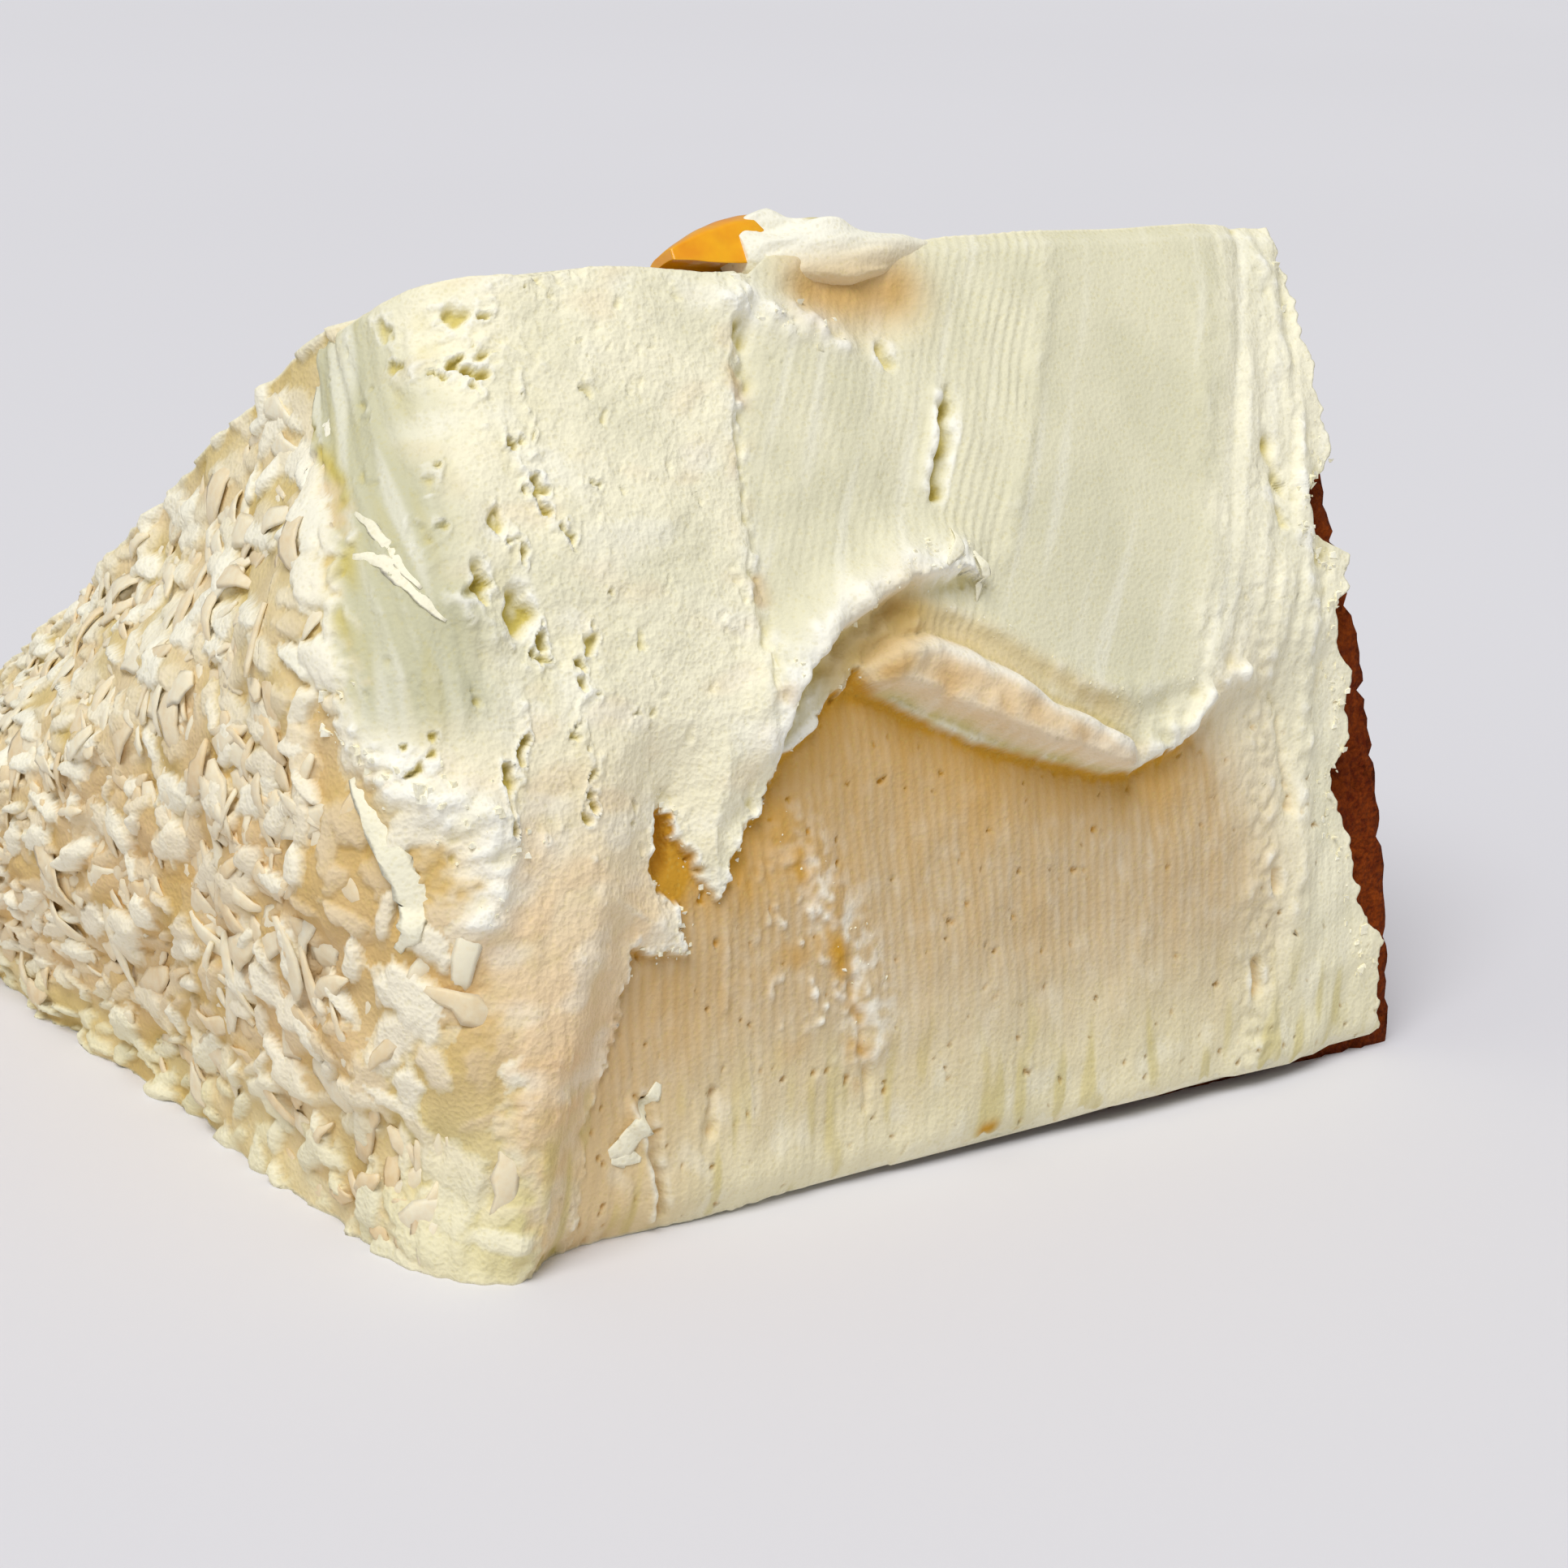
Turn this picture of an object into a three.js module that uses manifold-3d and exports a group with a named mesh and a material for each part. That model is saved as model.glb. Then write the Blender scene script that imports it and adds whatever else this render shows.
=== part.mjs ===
// A slice of frosted coconut pound cake, lying on one of its cut sides.
// X runs along the height of the whole cake, from its coconut top to its browned bottom.
// The frosted outer wall faces -Y, the point of the slice lies at +Y, and Z is up.

import * as THREE from 'three';
import { mergeVertices } from 'three/addons/utils/BufferGeometryUtils.js';
import Module from 'manifold-3d';

const wasm = await Module();
wasm.setup();

// Driving dimensions in millimetres
const CAKE_HEIGHT = 84.5;
const WALL_RADIUS = 115;
const SLICE_ANGLE = THREE.MathUtils.degToRad(33.7);
const WALL_FROSTING = 3;
const TOP_FROSTING = 8;
const SHOULDER = 9;
const TOP_BULGE = 9;
const OVERLAY = 2.4;
const BLUNT_TIP = 4;
const BOTTOM_LEAN = 4.5;
const FOOT_LIFT = 1.5;
const CLEARANCE = 0.3;
const ROUNDING = 0.02;
const CLEANING_PASSES = 4;
const FLAKE_COUNT = 84;
const FLAKE_LENGTH = 8;
const FLAKE_WIDTH = 2.4;
const FLAKE_THICKNESS = 0.9;

// Frosting lump over the upper edge and the fruit beside it: start and length along X,
// reach behind and in front of the wall, and height off the cut
const LUMP = { start: 29.5, length: 17, behind: 3.5, front: 4, height: 3.2 };
const FRUIT = { start: 22.5, length: 11, behind: 5, front: 1.4, height: 3.4 };

// Sizes that follow from them
const ARC = WALL_RADIUS * SLICE_ANGLE;
const CORE_RADIUS = WALL_RADIUS - WALL_FROSTING;

// Lower edge of the thick frosting, as [along X, up the wall], where it tore off the thin coat
const TEAR_EDGE = [
  [5, -2], [7, 10], [10, 19], [15, 20.5], [17.5, 23], [23, 31], [30, 36.5],
  [34, 34], [42, 29.8], [53, 26.8], [57, 27], [62, 29.5], [67, 30],
];

// Ragged end of the frosting beside the bare browned bottom edge, as [up the wall, along X]
const FROSTING_END = [
  [0, 83.2], [7, 82.2], [11, 80], [20, 77.5], [30, 79], [38, 78.4], [41, 81], [46, 79], [52, 80], [ARC, 80.6],
];

// Raised folds of the frosting: a path of [along X, up the wall], half width and height
const FOLDS = [
  { path: [[23, 34], [25, 37.5], [29, 41], [33, 43], [35, 41.5]], width: 2.2, height: 2.2 },
  { path: [[33, 37], [37, 38], [44, 35], [50, 31.5], [56, 28.5]], width: 2.6, height: 2.8 },
  { path: [[57, 28.5], [62, 31], [66, 33]], width: 1.8, height: 1.2 },
  { path: [[56.5, 65], [53.5, 57.5], [49, 48.5], [46.5, 43]], width: 1.2, height: 0.5 },
  { path: [[73, 64], [67.5, 47], [64, 32]], width: 1.2, height: 0.8 },
  { path: [[78, 64], [75, 40], [72, 14]], width: 1.4, height: 0.7 },
];

// Pits and cracks: centre [along X, up the wall], half sizes and depth
const PITS = [
  { at: [4.4, 44], size: [1.3, 2], depth: 1.6 },
  { at: [13.8, 27], size: [1.5, 3.4], depth: 2.2 },
  { at: [41, 52], size: [1.2, 3.2], depth: 1 },
  { at: [36.5, 62.5], size: [5, 2.5], depth: 1.5 },
];

const mix = THREE.MathUtils.lerp;
const ramp = (from, to, value) => THREE.MathUtils.smoothstep(value, from, to);

// Straight stretches between listed [input, output] points
function along(points, value) {
  const next = points.findIndex(([input]) => input > value);
  if (next === 0) return points[0][1];
  if (next < 0) return points.at(-1)[1];
  const [from, low] = points[next - 1];
  const [to, high] = points[next];
  return mix(low, high, (value - from) / (to - from));
}

function distanceToPath(path, x, s) {
  const here = new THREE.Vector3(x, s, 0);
  const nearest = new THREE.Vector3();
  const distances = path.slice(1).map((end, i) => {
    const start = path[i];
    const stretch = new THREE.Line3(new THREE.Vector3(...start, 0), new THREE.Vector3(...end, 0));
    return stretch.closestPointToPoint(here, true, nearest).distanceTo(here);
  });
  return Math.min(...distances);
}

// Seeded draw, so that the flakes always fall in the same places
function drawer(seed) {
  let state = seed;
  return () => {
    state = (Math.imul(state, 1664525) + 1013904223) >>> 0;
    return state / 2 ** 32;
  };
}

// A point of the slice from its place along X, its distance from the point and its share of the angle
function slicePoint(x, radius, share) {
  const angle = share * SLICE_ANGLE;
  return new THREE.Vector3(x, WALL_RADIUS - radius * Math.cos(angle), radius * Math.sin(angle));
}

// Height of the frosting over the thin coat on the wall
function wallRelief(x, s) {
  const stepWidth = mix(0.9, 14, ramp(63, 70, x));
  const covered = ramp(-stepWidth, stepWidth, s - along(TEAR_EDGE, x));
  const roughSide = 1 - ramp(-1, 1, x - mix(22.5, 27, ramp(40, 64, s)));
  const folds = FOLDS.map(({ path, width, height }) =>
    height * Math.exp(-((distanceToPath(path, x, s) / width) ** 2)));
  const pits = PITS.map(({ at, size, depth }) =>
    depth * Math.exp(-(((x - at[0]) / size[0]) ** 2) - ((s - at[1]) / size[1]) ** 2));
  const uneven = 0.3 * Math.sin(x / 4.1 + s / 9) * Math.sin(s / 5.3 - x / 11);
  const thinEnd = 1.6 * ramp(70, 80, x);
  const foot = 1.1 * Math.exp(-((s / 1.6) ** 2));
  const total = (list) => list.reduce((sum, value) => sum + value, 0);
  return covered * (OVERLAY + 0.8 * roughSide) + total(folds) - total(pits) + uneven - thinEnd - foot;
}

// How far the coconut top swells out of its plane
function topSwell(radius, share) {
  const acrossTop = ramp(8, 55, radius);
  const upSlice = mix(0.6, 1, ramp(0, 0.5, share)) * mix(1, 0, ramp(0.6, 1, share));
  return TOP_BULGE * acrossTop * upSlice;
}

// Outer surface of the frosting: along the wall, round the shoulder and over the coconut top
const WALL_STEPS = 38;
const SHOULDER_STEPS = 5;
const TOP_STEPS = 17;
const STEPS_ROUND = WALL_STEPS + SHOULDER_STEPS + TOP_STEPS;
const STEPS_UP = 30;

function outerPoint(step, share) {
  const s = share * ARC;
  const edge = -topSwell(WALL_RADIUS, share);
  const shoulderStart = edge + SHOULDER;
  if (step <= WALL_STEPS) {
    const x = mix(along(FROSTING_END, s), shoulderStart, step / WALL_STEPS);
    return slicePoint(x, WALL_RADIUS + wallRelief(x, s), share);
  }
  const wall = WALL_RADIUS + wallRelief(shoulderStart, s);
  if (step <= WALL_STEPS + SHOULDER_STEPS) {
    const turn = (step - WALL_STEPS) / SHOULDER_STEPS * Math.PI / 2;
    const x = shoulderStart - SHOULDER * Math.sin(turn);
    return slicePoint(x, wall - SHOULDER * (1 - Math.cos(turn)), share);
  }
  const inward = (step - WALL_STEPS - SHOULDER_STEPS) / TOP_STEPS;
  const radius = mix(wall - SHOULDER, BLUNT_TIP, inward);
  const lumps = 0.7 * Math.sin(radius / 3.7 + s / 6) * Math.sin(s / 3.1 - radius / 8);
  return slicePoint(-topSwell(radius + SHOULDER, share) - lumps * ramp(0, 0.15, inward), radius, share);
}

// A point below the outer surface, inside the cake, so that the coat has a body to be cut from
function innerPoint(step, share) {
  const depth = TOP_FROSTING + 3;
  const right = along(FROSTING_END, share * ARC);
  if (step <= WALL_STEPS) {
    return slicePoint(mix(right, depth, step / WALL_STEPS), CORE_RADIUS - 3, share);
  }
  const inward = Math.max(0, step - WALL_STEPS - SHOULDER_STEPS) / TOP_STEPS;
  return slicePoint(depth, mix(CORE_RADIUS - 3, BLUNT_TIP, inward), share);
}

// Lifts the lower edge of the wall's frosting a little near the browned bottom
function frostingShare(step, share) {
  if (step > WALL_STEPS) return share;
  const lifted = FOOT_LIFT / ARC * (1 - ramp(0.05, 0.35, step / WALL_STEPS));
  return mix(lifted, 1, share);
}

// A closed block whose grid points are placed by a function of its three shares
function block(steps, place) {
  const geometry = new THREE.BoxGeometry(1, 1, 1, ...steps);
  geometry.deleteAttribute('normal');
  geometry.deleteAttribute('uv');
  const merged = mergeVertices(geometry);
  const position = merged.attributes.position;
  const corner = new THREE.Vector3();
  for (let i = 0; i < position.count; i += 1) {
    corner.fromBufferAttribute(position, i).addScalar(0.5);
    position.setXYZ(i, ...place(corner.x, corner.y, corner.z).toArray());
  }
  return merged;
}

function toSolid(geometry) {
  return new wasm.Manifold(new wasm.Mesh({
    numProp: 3,
    vertProperties: new Float32Array(geometry.attributes.position.array),
    triVerts: new Uint32Array(geometry.index.array),
  }));
}

// The one main body of a solid, without loose scraps or sealed bubbles
function mainBody(solid) {
  return solid.decompose().reduce((best, body) => (body.volume() > best.volume() ? body : best));
}

function bodyGeometry(body) {
  const mesh = body.getMesh();
  const geometry = new THREE.BufferGeometry();
  const rounded = mesh.vertProperties.map((value) => Math.round(value / ROUNDING) * ROUNDING);
  geometry.setAttribute('position', new THREE.BufferAttribute(rounded, 3));
  geometry.setIndex(new THREE.BufferAttribute(mesh.triVerts, 1));
  return mergeVertices(geometry, ROUNDING / 4);
}

// Back to a mesh geometry on a fine grid of places, cleaned until it stays one body
function toGeometry(solid) {
  let geometry = bodyGeometry(mainBody(solid));
  for (let pass = 0; pass < CLEANING_PASSES; pass += 1) {
    geometry = bodyGeometry(mainBody(toSolid(geometry)));
  }
  geometry.computeVertexNormals();
  return geometry;
}

// The cake itself, from the inner face of its top frosting to its leaning browned bottom
function cakeGeometry(grow) {
  const spread = grow ? 0.05 : 0;
  return block([2, 3, 15], (a, b, c) => {
    const share = mix(-spread, 1 + spread, c);
    const bottom = CAKE_HEIGHT - BOTTOM_LEAN * c + (grow ? 10 : 0);
    const radius = mix(grow ? 0.5 : BLUNT_TIP, CORE_RADIUS + grow, 1 - b);
    return slicePoint(mix(TOP_FROSTING - grow, bottom, a), radius, share);
  });
}

function frostingCoat() {
  return block([STEPS_ROUND, STEPS_UP, 1], (a, b, c) => {
    const step = (1 - a) * STEPS_ROUND;
    const share = frostingShare(step, b);
    return c > 0.5 ? outerPoint(step, share) : innerPoint(step, share);
  });
}

// Place and directions at the upper front edge: X, out of the wall, and off the sloping cut
function onTopEdge(x, out, off) {
  const direction = new THREE.Vector3(0, Math.sin(SLICE_ANGLE), Math.cos(SLICE_ANGLE));
  return slicePoint(x, WALL_RADIUS + out, 1).addScaledVector(direction, off);
}

// The soft lump of frosting dragged over the upper edge, fullest beside the fruit
function creamLump() {
  return block([12, 8, 6], (a, b, c) => {
    const full = Math.sin(Math.PI * mix(0.06, 0.97, a ** 0.6)) ** 0.7;
    const across = 2 * b - 1;
    const round = Math.sqrt(1 - 0.85 * across * across);
    const out = mix(LUMP.front, -LUMP.behind, b) * full;
    const off = mix(-LUMP.front, LUMP.height, c) * full * round;
    return onTopEdge(LUMP.start + LUMP.length * a, out, off);
  });
}

// A sliver of candied fruit lying on the cut, thin at its free end
function fruitGeometry(grow) {
  return block([10, 6, 4], (a, b, c) => {
    const full = Math.sin(Math.PI * mix(0.05, 0.62, a)) ** 0.8;
    const across = 2 * b - 1;
    const round = Math.sqrt(1 - 0.8 * across * across);
    const x = FRUIT.start - grow + (FRUIT.length + 2 * grow) * a;
    const out = mix(FRUIT.front + grow, -FRUIT.behind - grow, b) * mix(0.35, 1, full);
    const off = mix(CLEARANCE - grow, FRUIT.height * full * round + CLEARANCE + grow, c);
    return onTopEdge(x, out, off);
  });
}

// One curled strip of shredded coconut, laid across a place on the surface
function flakeGeometry(place, outward, heading, length, width, curl) {
  const strip = new THREE.BoxGeometry(length, width, FLAKE_THICKNESS, 3, 1, 1);
  strip.deleteAttribute('normal');
  strip.deleteAttribute('uv');
  const flake = mergeVertices(strip);
  const position = flake.attributes.position;
  const p = new THREE.Vector3();
  for (let i = 0; i < position.count; i += 1) {
    p.fromBufferAttribute(position, i);
    const share = 2 * p.x / length;
    position.setXYZ(i, p.x, p.y * (1.15 - 0.6 * share * share), p.z + curl * (share * share - 0.3));
  }
  const side = new THREE.Vector3().crossVectors(outward, heading).normalize();
  const ahead = new THREE.Vector3().crossVectors(side, outward);
  flake.applyMatrix4(new THREE.Matrix4().makeBasis(ahead, side, outward).setPosition(place));
  return flake;
}

// The step along the outer surface at a share of the way from the slice's point to the wall
function coconutStep(share) {
  const face = WALL_RADIUS - SHOULDER - BLUNT_TIP;
  const shoulder = SHOULDER * Math.PI / 2;
  const reach = share * (face + shoulder);
  if (reach < face) return STEPS_ROUND - TOP_STEPS * reach / face;
  return WALL_STEPS + SHOULDER_STEPS * (1 - (reach - face) / shoulder);
}

function outwardAt(step, share) {
  const place = outerPoint(step, share);
  const inward = outerPoint(step + 0.4, share).sub(place);
  const upward = outerPoint(step, share + 0.02).sub(place);
  return inward.cross(upward).normalize();
}

// Flakes spread evenly over the coconut top, with seeded turns, lengths and curls
function flakes() {
  const draw = drawer(434);
  const golden = (Math.sqrt(5) - 1) / 2;
  return Array.from({ length: FLAKE_COUNT }, (_, i) => {
    const step = coconutStep(Math.sqrt(mix(0.01, 0.96, (i + 0.5) / FLAKE_COUNT)));
    const share = mix(0.03, 0.95, (i * golden) % 1);
    const outward = outwardAt(step, share);
    const turn = draw() * Math.PI * 2;
    const heading = new THREE.Vector3(0, Math.cos(turn), Math.sin(turn));
    const length = FLAKE_LENGTH * mix(0.55, 1.25, draw());
    const width = FLAKE_WIDTH * mix(0.6, 1.2, draw());
    const curl = mix(-0.5, 0.9, draw());
    return flakeGeometry(outerPoint(step, share), outward, heading, length, width, curl);
  });
}

// A deep slab below the floor plane, which trims what would reach under the slice
function belowFloor() {
  return block([1, 1, 1], (a, b, c) => new THREE.Vector3(mix(-60, 160, a), mix(-60, 180, b), mix(-40, 0, c)));
}

// Everything beyond the sloping cut, which trims what would stand off it
function beyondCut() {
  return block([1, 1, 1], (a, b, c) => slicePoint(mix(-60, 20, a), mix(160, 0.1, b), mix(1, 1.9, c)));
}

function frostingGeometry() {
  const coat = toSolid(frostingCoat()).subtract(toSolid(cakeGeometry(CLEARANCE)));
  const shredded = flakes().reduce((joined, flake) => joined.add(toSolid(flake)), coat);
  const trimmed = shredded.subtract(toSolid(beyondCut())).subtract(toSolid(belowFloor()));
  const lump = toSolid(creamLump()).subtract(toSolid(cakeGeometry(CLEARANCE)));
  return toGeometry(trimmed.add(lump).subtract(toSolid(fruitGeometry(CLEARANCE))));
}

function piece(name, geometry, colour, roughness) {
  const material = new THREE.MeshStandardMaterial({ color: colour, roughness, metalness: 0 });
  const mesh = new THREE.Mesh(geometry, material);
  mesh.name = name;
  return mesh;
}

// Sets the origin at the middle of the slice's footprint, on the floor
function centred(group) {
  const box = new THREE.Box3().setFromObject(group);
  const middle = box.getCenter(new THREE.Vector3());
  group.position.set(-middle.x, -middle.y, -box.min.z);
  return group;
}

const slice = new THREE.Group();
slice.add(
  piece('cake_slice', cakeGeometry(0), 0x9a5a22, 0.8),
  piece('frosting', frostingGeometry(), 0xf2eddb, 0.55),
  piece('fruit_piece', fruitGeometry(0), 0xe8a008, 0.35),
);

export default centred(slice);
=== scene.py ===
import itertools
import math
from types import SimpleNamespace

import bpy
import numpy as np
from mathutils import Matrix, Vector


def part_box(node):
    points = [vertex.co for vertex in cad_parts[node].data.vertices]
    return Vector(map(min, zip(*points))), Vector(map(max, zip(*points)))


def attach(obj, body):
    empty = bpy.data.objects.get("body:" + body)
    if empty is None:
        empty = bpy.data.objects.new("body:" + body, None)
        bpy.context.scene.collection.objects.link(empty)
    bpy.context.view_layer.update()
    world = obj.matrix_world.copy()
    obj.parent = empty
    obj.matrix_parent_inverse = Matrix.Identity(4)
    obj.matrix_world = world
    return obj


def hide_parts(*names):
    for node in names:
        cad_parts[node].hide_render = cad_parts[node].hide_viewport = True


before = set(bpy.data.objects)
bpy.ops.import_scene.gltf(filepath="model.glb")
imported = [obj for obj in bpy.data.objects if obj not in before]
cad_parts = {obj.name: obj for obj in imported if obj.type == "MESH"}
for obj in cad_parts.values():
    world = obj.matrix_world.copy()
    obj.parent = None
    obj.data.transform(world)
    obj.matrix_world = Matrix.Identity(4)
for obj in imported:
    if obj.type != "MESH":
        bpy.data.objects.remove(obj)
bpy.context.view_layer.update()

# The cake: a wedge of dense pound cake from a round tin, lying on one cut side. Its outer wall and
# its bottom browned against the tin, and both cut sides show the pale yellow crumb.
# All its sizes are in millimetres, along the cake's height, out from the middle and round the angle.
MM = 0.001
CAKE_HEIGHT = 85.0
WALL_RADIUS = 115.0
SLICE_ANGLE = math.radians(33.7)
WALL_FROSTING = 3.0
TOP_FROSTING = 8.0
BLUNT_TIP = 4.0
BOTTOM_LEAN = 4.5
CORE_RADIUS = WALL_RADIUS - WALL_FROSTING
CAKE_MIDDLE = (46.0, 55.0, 16.0)
PIT_DEPTH = 0.8
ORIGIN = np.array(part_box("cake_slice")[0]) / MM - (TOP_FROSTING, WALL_FROSTING, 0)

CRUMB_PALE = (249, 231, 178)
CRUMB_DEEP = (231, 198, 124)
CRUST_DARK = (86, 26, 2)
CRUST_LIGHT = (132, 58, 10)


def ramp(low, high, value):
    """0 at the first bound, 1 at the second, and a soft step between them."""
    share = np.clip((value - low) / (high - low), 0, 1)
    return share * share * (3 - 2 * share)


def mix(first, second, share):
    return first + (second - first) * share


def unit(vectors):
    return vectors / np.linalg.norm(vectors, axis=-1, keepdims=True)


def slice_point(x, radius, share):
    """A place from one along the cake's height, a radius and a share of the slice's angle."""
    x, radius, angle = np.broadcast_arrays(x, radius, share * SLICE_ANGLE)
    return np.stack([x, WALL_RADIUS - radius * np.cos(angle), radius * np.sin(angle)], -1)


def scrambled(cell, seed):
    """A whole number under 2**32 for each grid cell, the same on every run."""
    x, y, z = np.moveaxis(cell.astype(np.uint64), -1, 0)
    mask = np.uint64(0xFFFFFFFF)
    key = (x * np.uint64(73856093)) ^ (y * np.uint64(19349663)) ^ (z * np.uint64(83492791))
    key = (key + np.uint64(seed * 2654435761)) & mask
    for shift, factor in ((15, 2246822519), (13, 3266489917)):
        key = ((key ^ (key >> np.uint64(shift))) * np.uint64(factor)) & mask
    return key ^ (key >> np.uint64(16))


def noise(points, size, seed):
    """Smooth noise from about -1 to 1, with lumps of the given size."""
    scaled = np.asarray(points, float) / size
    cell = np.floor(scaled).astype(np.int64)
    inside = scaled - cell
    fade = inside ** 3 * (inside * (inside * 6 - 15) + 10)
    total = np.zeros(scaled.shape[:-1])
    for corner in itertools.product((0, 1), repeat=3):
        key = scrambled(cell + corner, seed)
        slopes = [(key >> np.uint64(shift)) & np.uint64(1023) for shift in (0, 10, 20)]
        slope = np.stack(slopes, -1).astype(float) / 511.5 - 1
        weight = np.prod(np.where(corner, fade, 1 - fade), -1)
        total += weight * np.sum(slope * (inside - corner), -1)
    return total * 1.6


def block_grid(steps):
    """Shares from 0 to 1 over the surface of a block, and its faces turned outwards."""
    corners, faces = [], []
    for axis, side in itertools.product(range(3), (0, 1)):
        across, up = (axis + 1) % 3, (axis + 2) % 3
        a, b = np.mgrid[0:steps[across] + 1, 0:steps[up] + 1]
        place = np.zeros(a.shape + (3,), int)
        place[..., axis] = side * steps[axis]
        place[..., across], place[..., up] = a, b
        index = np.arange(a.size).reshape(a.shape) + sum(len(c) for c in corners)
        quads = grid_faces(index)
        faces.append(quads if side else quads[:, ::-1])
        corners.append(place.reshape(-1, 3))
    places, welded = np.unique(np.concatenate(corners), axis=0, return_inverse=True)
    return places / np.array(steps), welded.reshape(-1)[np.concatenate(faces)]


def grid_faces(index):
    corners = index[:-1, :-1], index[1:, :-1], index[1:, 1:], index[:-1, 1:]
    return np.stack([c.reshape(-1) for c in corners], -1)


def make_piece(name, points, faces, material, **values):
    """A smooth piece from places in millimetres, with a named number at each of its points."""
    mesh = bpy.data.meshes.new(name)
    mesh.from_pydata(((points + ORIGIN) * MM).tolist(), [], list(faces))
    mesh.shade_smooth()
    for title, numbers in values.items():
        mesh.attributes.new(title, "FLOAT", "POINT").data.foreach_set("value", np.ravel(numbers))
    mesh.materials.append(material)
    piece = bpy.data.objects.new(name, mesh)
    bpy.context.scene.collection.objects.link(piece)
    return piece


def paint(colour):
    """Linear colour from red, green and blue out of 255."""
    shares = [c / 255 for c in colour]
    linear = [c / 12.92 if c <= 0.04045 else ((c + 0.055) / 1.055) ** 2.4 for c in shares]
    return (*linear, 1.0)


def add(tree, kind, settings=None, **sockets):
    """A shader node with its settings and its sockets, each a value or a link."""
    made = tree.nodes.new("ShaderNode" + kind)
    for name, value in (settings or {}).items():
        setattr(made, name, value)
    return plug(tree, made, **sockets)


def plug(tree, node, **sockets):
    """Give named sockets of a node their values or links."""
    for name, value in sockets.items():
        connect(tree, node.inputs[name.replace("_", " ")], value)
    return node


def connect(tree, socket, value):
    if isinstance(value, bpy.types.NodeSocket):
        tree.links.new(value, socket)
    else:
        socket.default_value = value


def blend(tree, share, first, second):
    made = tree.nodes.new("ShaderNodeMix")
    made.data_type = "RGBA"
    for socket, value in zip((0, 6, 7), (share, first, second)):
        connect(tree, made.inputs[socket], value)
    return made.outputs[2]


def rescale(tree, value, low, high, to_low=0.0, to_high=1.0):
    made = add(tree, "MapRange", Value=value, From_Min=low, From_Max=high, To_Min=to_low, To_Max=to_high)
    return made.outputs[0]


def node_sum(tree, first, second, clamped=False):
    made = add(tree, "Math", {"operation": "ADD", "use_clamp": clamped})
    for socket, value in zip(made.inputs, (first, second)):
        connect(tree, socket, value)
    return made.outputs[0]


def grain(tree, size, detail=2.0, rough=0.5):
    """Noise of a size in millimetres, fixed to the piece."""
    place = add(tree, "TexCoord").outputs["Object"]
    made = add(tree, "TexNoise", Vector=place, Scale=1 / (size * MM), Detail=detail, Roughness=rough)
    return made.outputs[0]


def number_at_points(tree, title):
    return add(tree, "Attribute", {"attribute_name": title}).outputs["Fac"]


def new_material(name):
    material = bpy.data.materials.new(name)
    material.use_nodes = True
    tree = material.node_tree
    return material, tree, tree.nodes["Principled BSDF"]


def crumb_group():
    """Open crumb: the height of its walls and pores, and how deep each place lies, which the materials use
    to paint shade into the pores.
    """
    tree = bpy.data.node_groups.new("open crumb", "ShaderNodeTree")
    tree.interface.new_socket("Pore Size", in_out="INPUT", socket_type="NodeSocketFloat")
    for title in ("Height", "Depth"):
        tree.interface.new_socket(title, in_out="OUTPUT", socket_type="NodeSocketFloat")
    given = tree.nodes.new("NodeGroupInput")
    result = tree.nodes.new("NodeGroupOutput")
    place = add(tree, "TexCoord").outputs["Object"]
    scale = add(tree, "Math", {"operation": "DIVIDE"})
    scale.inputs[0].default_value = 1 / MM
    tree.links.new(given.outputs[0], scale.inputs[1])
    fine = add(tree, "TexNoise", Vector=place, Scale=scale.outputs[0], Detail=1.0, Roughness=0.65)
    pores = add(tree, "TexVoronoi", {"feature": "F1"}, Vector=place, Scale=scale.outputs[0])
    height = node_sum(tree, fine.outputs[0], pores.outputs["Distance"])
    connect(tree, result.inputs["Height"], height)
    connect(tree, result.inputs["Depth"], rescale(tree, height, 1.0, 0.62))
    return tree


OPEN_CRUMB = crumb_group()


def place_group(tree, group, **sockets):
    made = tree.nodes.new("ShaderNodeGroup")
    made.node_tree = group
    return plug(tree, made, **sockets)


def baked_cake():
    material, tree, shader = new_material("baked cake")
    crumb = place_group(tree, OPEN_CRUMB, Pore_Size=0.45)
    # Painted shade: the crumb's pores take the deeper crumb colour.
    deep = rescale(tree, crumb.outputs["Depth"], 0.0, 1.0, 0.0, 0.45)
    pale = blend(tree, deep, paint(CRUMB_PALE), paint(CRUMB_DEEP))
    uneven = rescale(tree, grain(tree, 9, 3.0), 0.35, 0.7, 0.0, 0.5)
    pale = blend(tree, uneven, pale, paint(CRUMB_DEEP))
    # Painted shade in the sunk pits of the cut sides.
    pale = blend(tree, number_at_points(tree, "pit"), pale, paint(CRUMB_DEEP))
    browned = rescale(tree, grain(tree, 0.7, 5.0, 0.7), 0.3, 0.75, -0.35, 1.1)
    patchy = rescale(tree, grain(tree, 16, 3.0), 0.35, 0.7, 0.0, 0.5)
    toasted = node_sum(tree, browned, patchy, clamped=True)
    crust = blend(tree, toasted, paint(CRUST_DARK), paint(CRUST_LIGHT))
    colour = blend(tree, number_at_points(tree, "crust"), pale, crust)
    bump = add(tree, "Bump", Strength=0.5, Distance=0.5 * MM, Height=crumb.outputs["Height"])
    plug(tree, shader, Base_Color=colour, Roughness=0.8, Specular_IOR_Level=0.1, Normal=bump.outputs[0])
    return material


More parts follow.
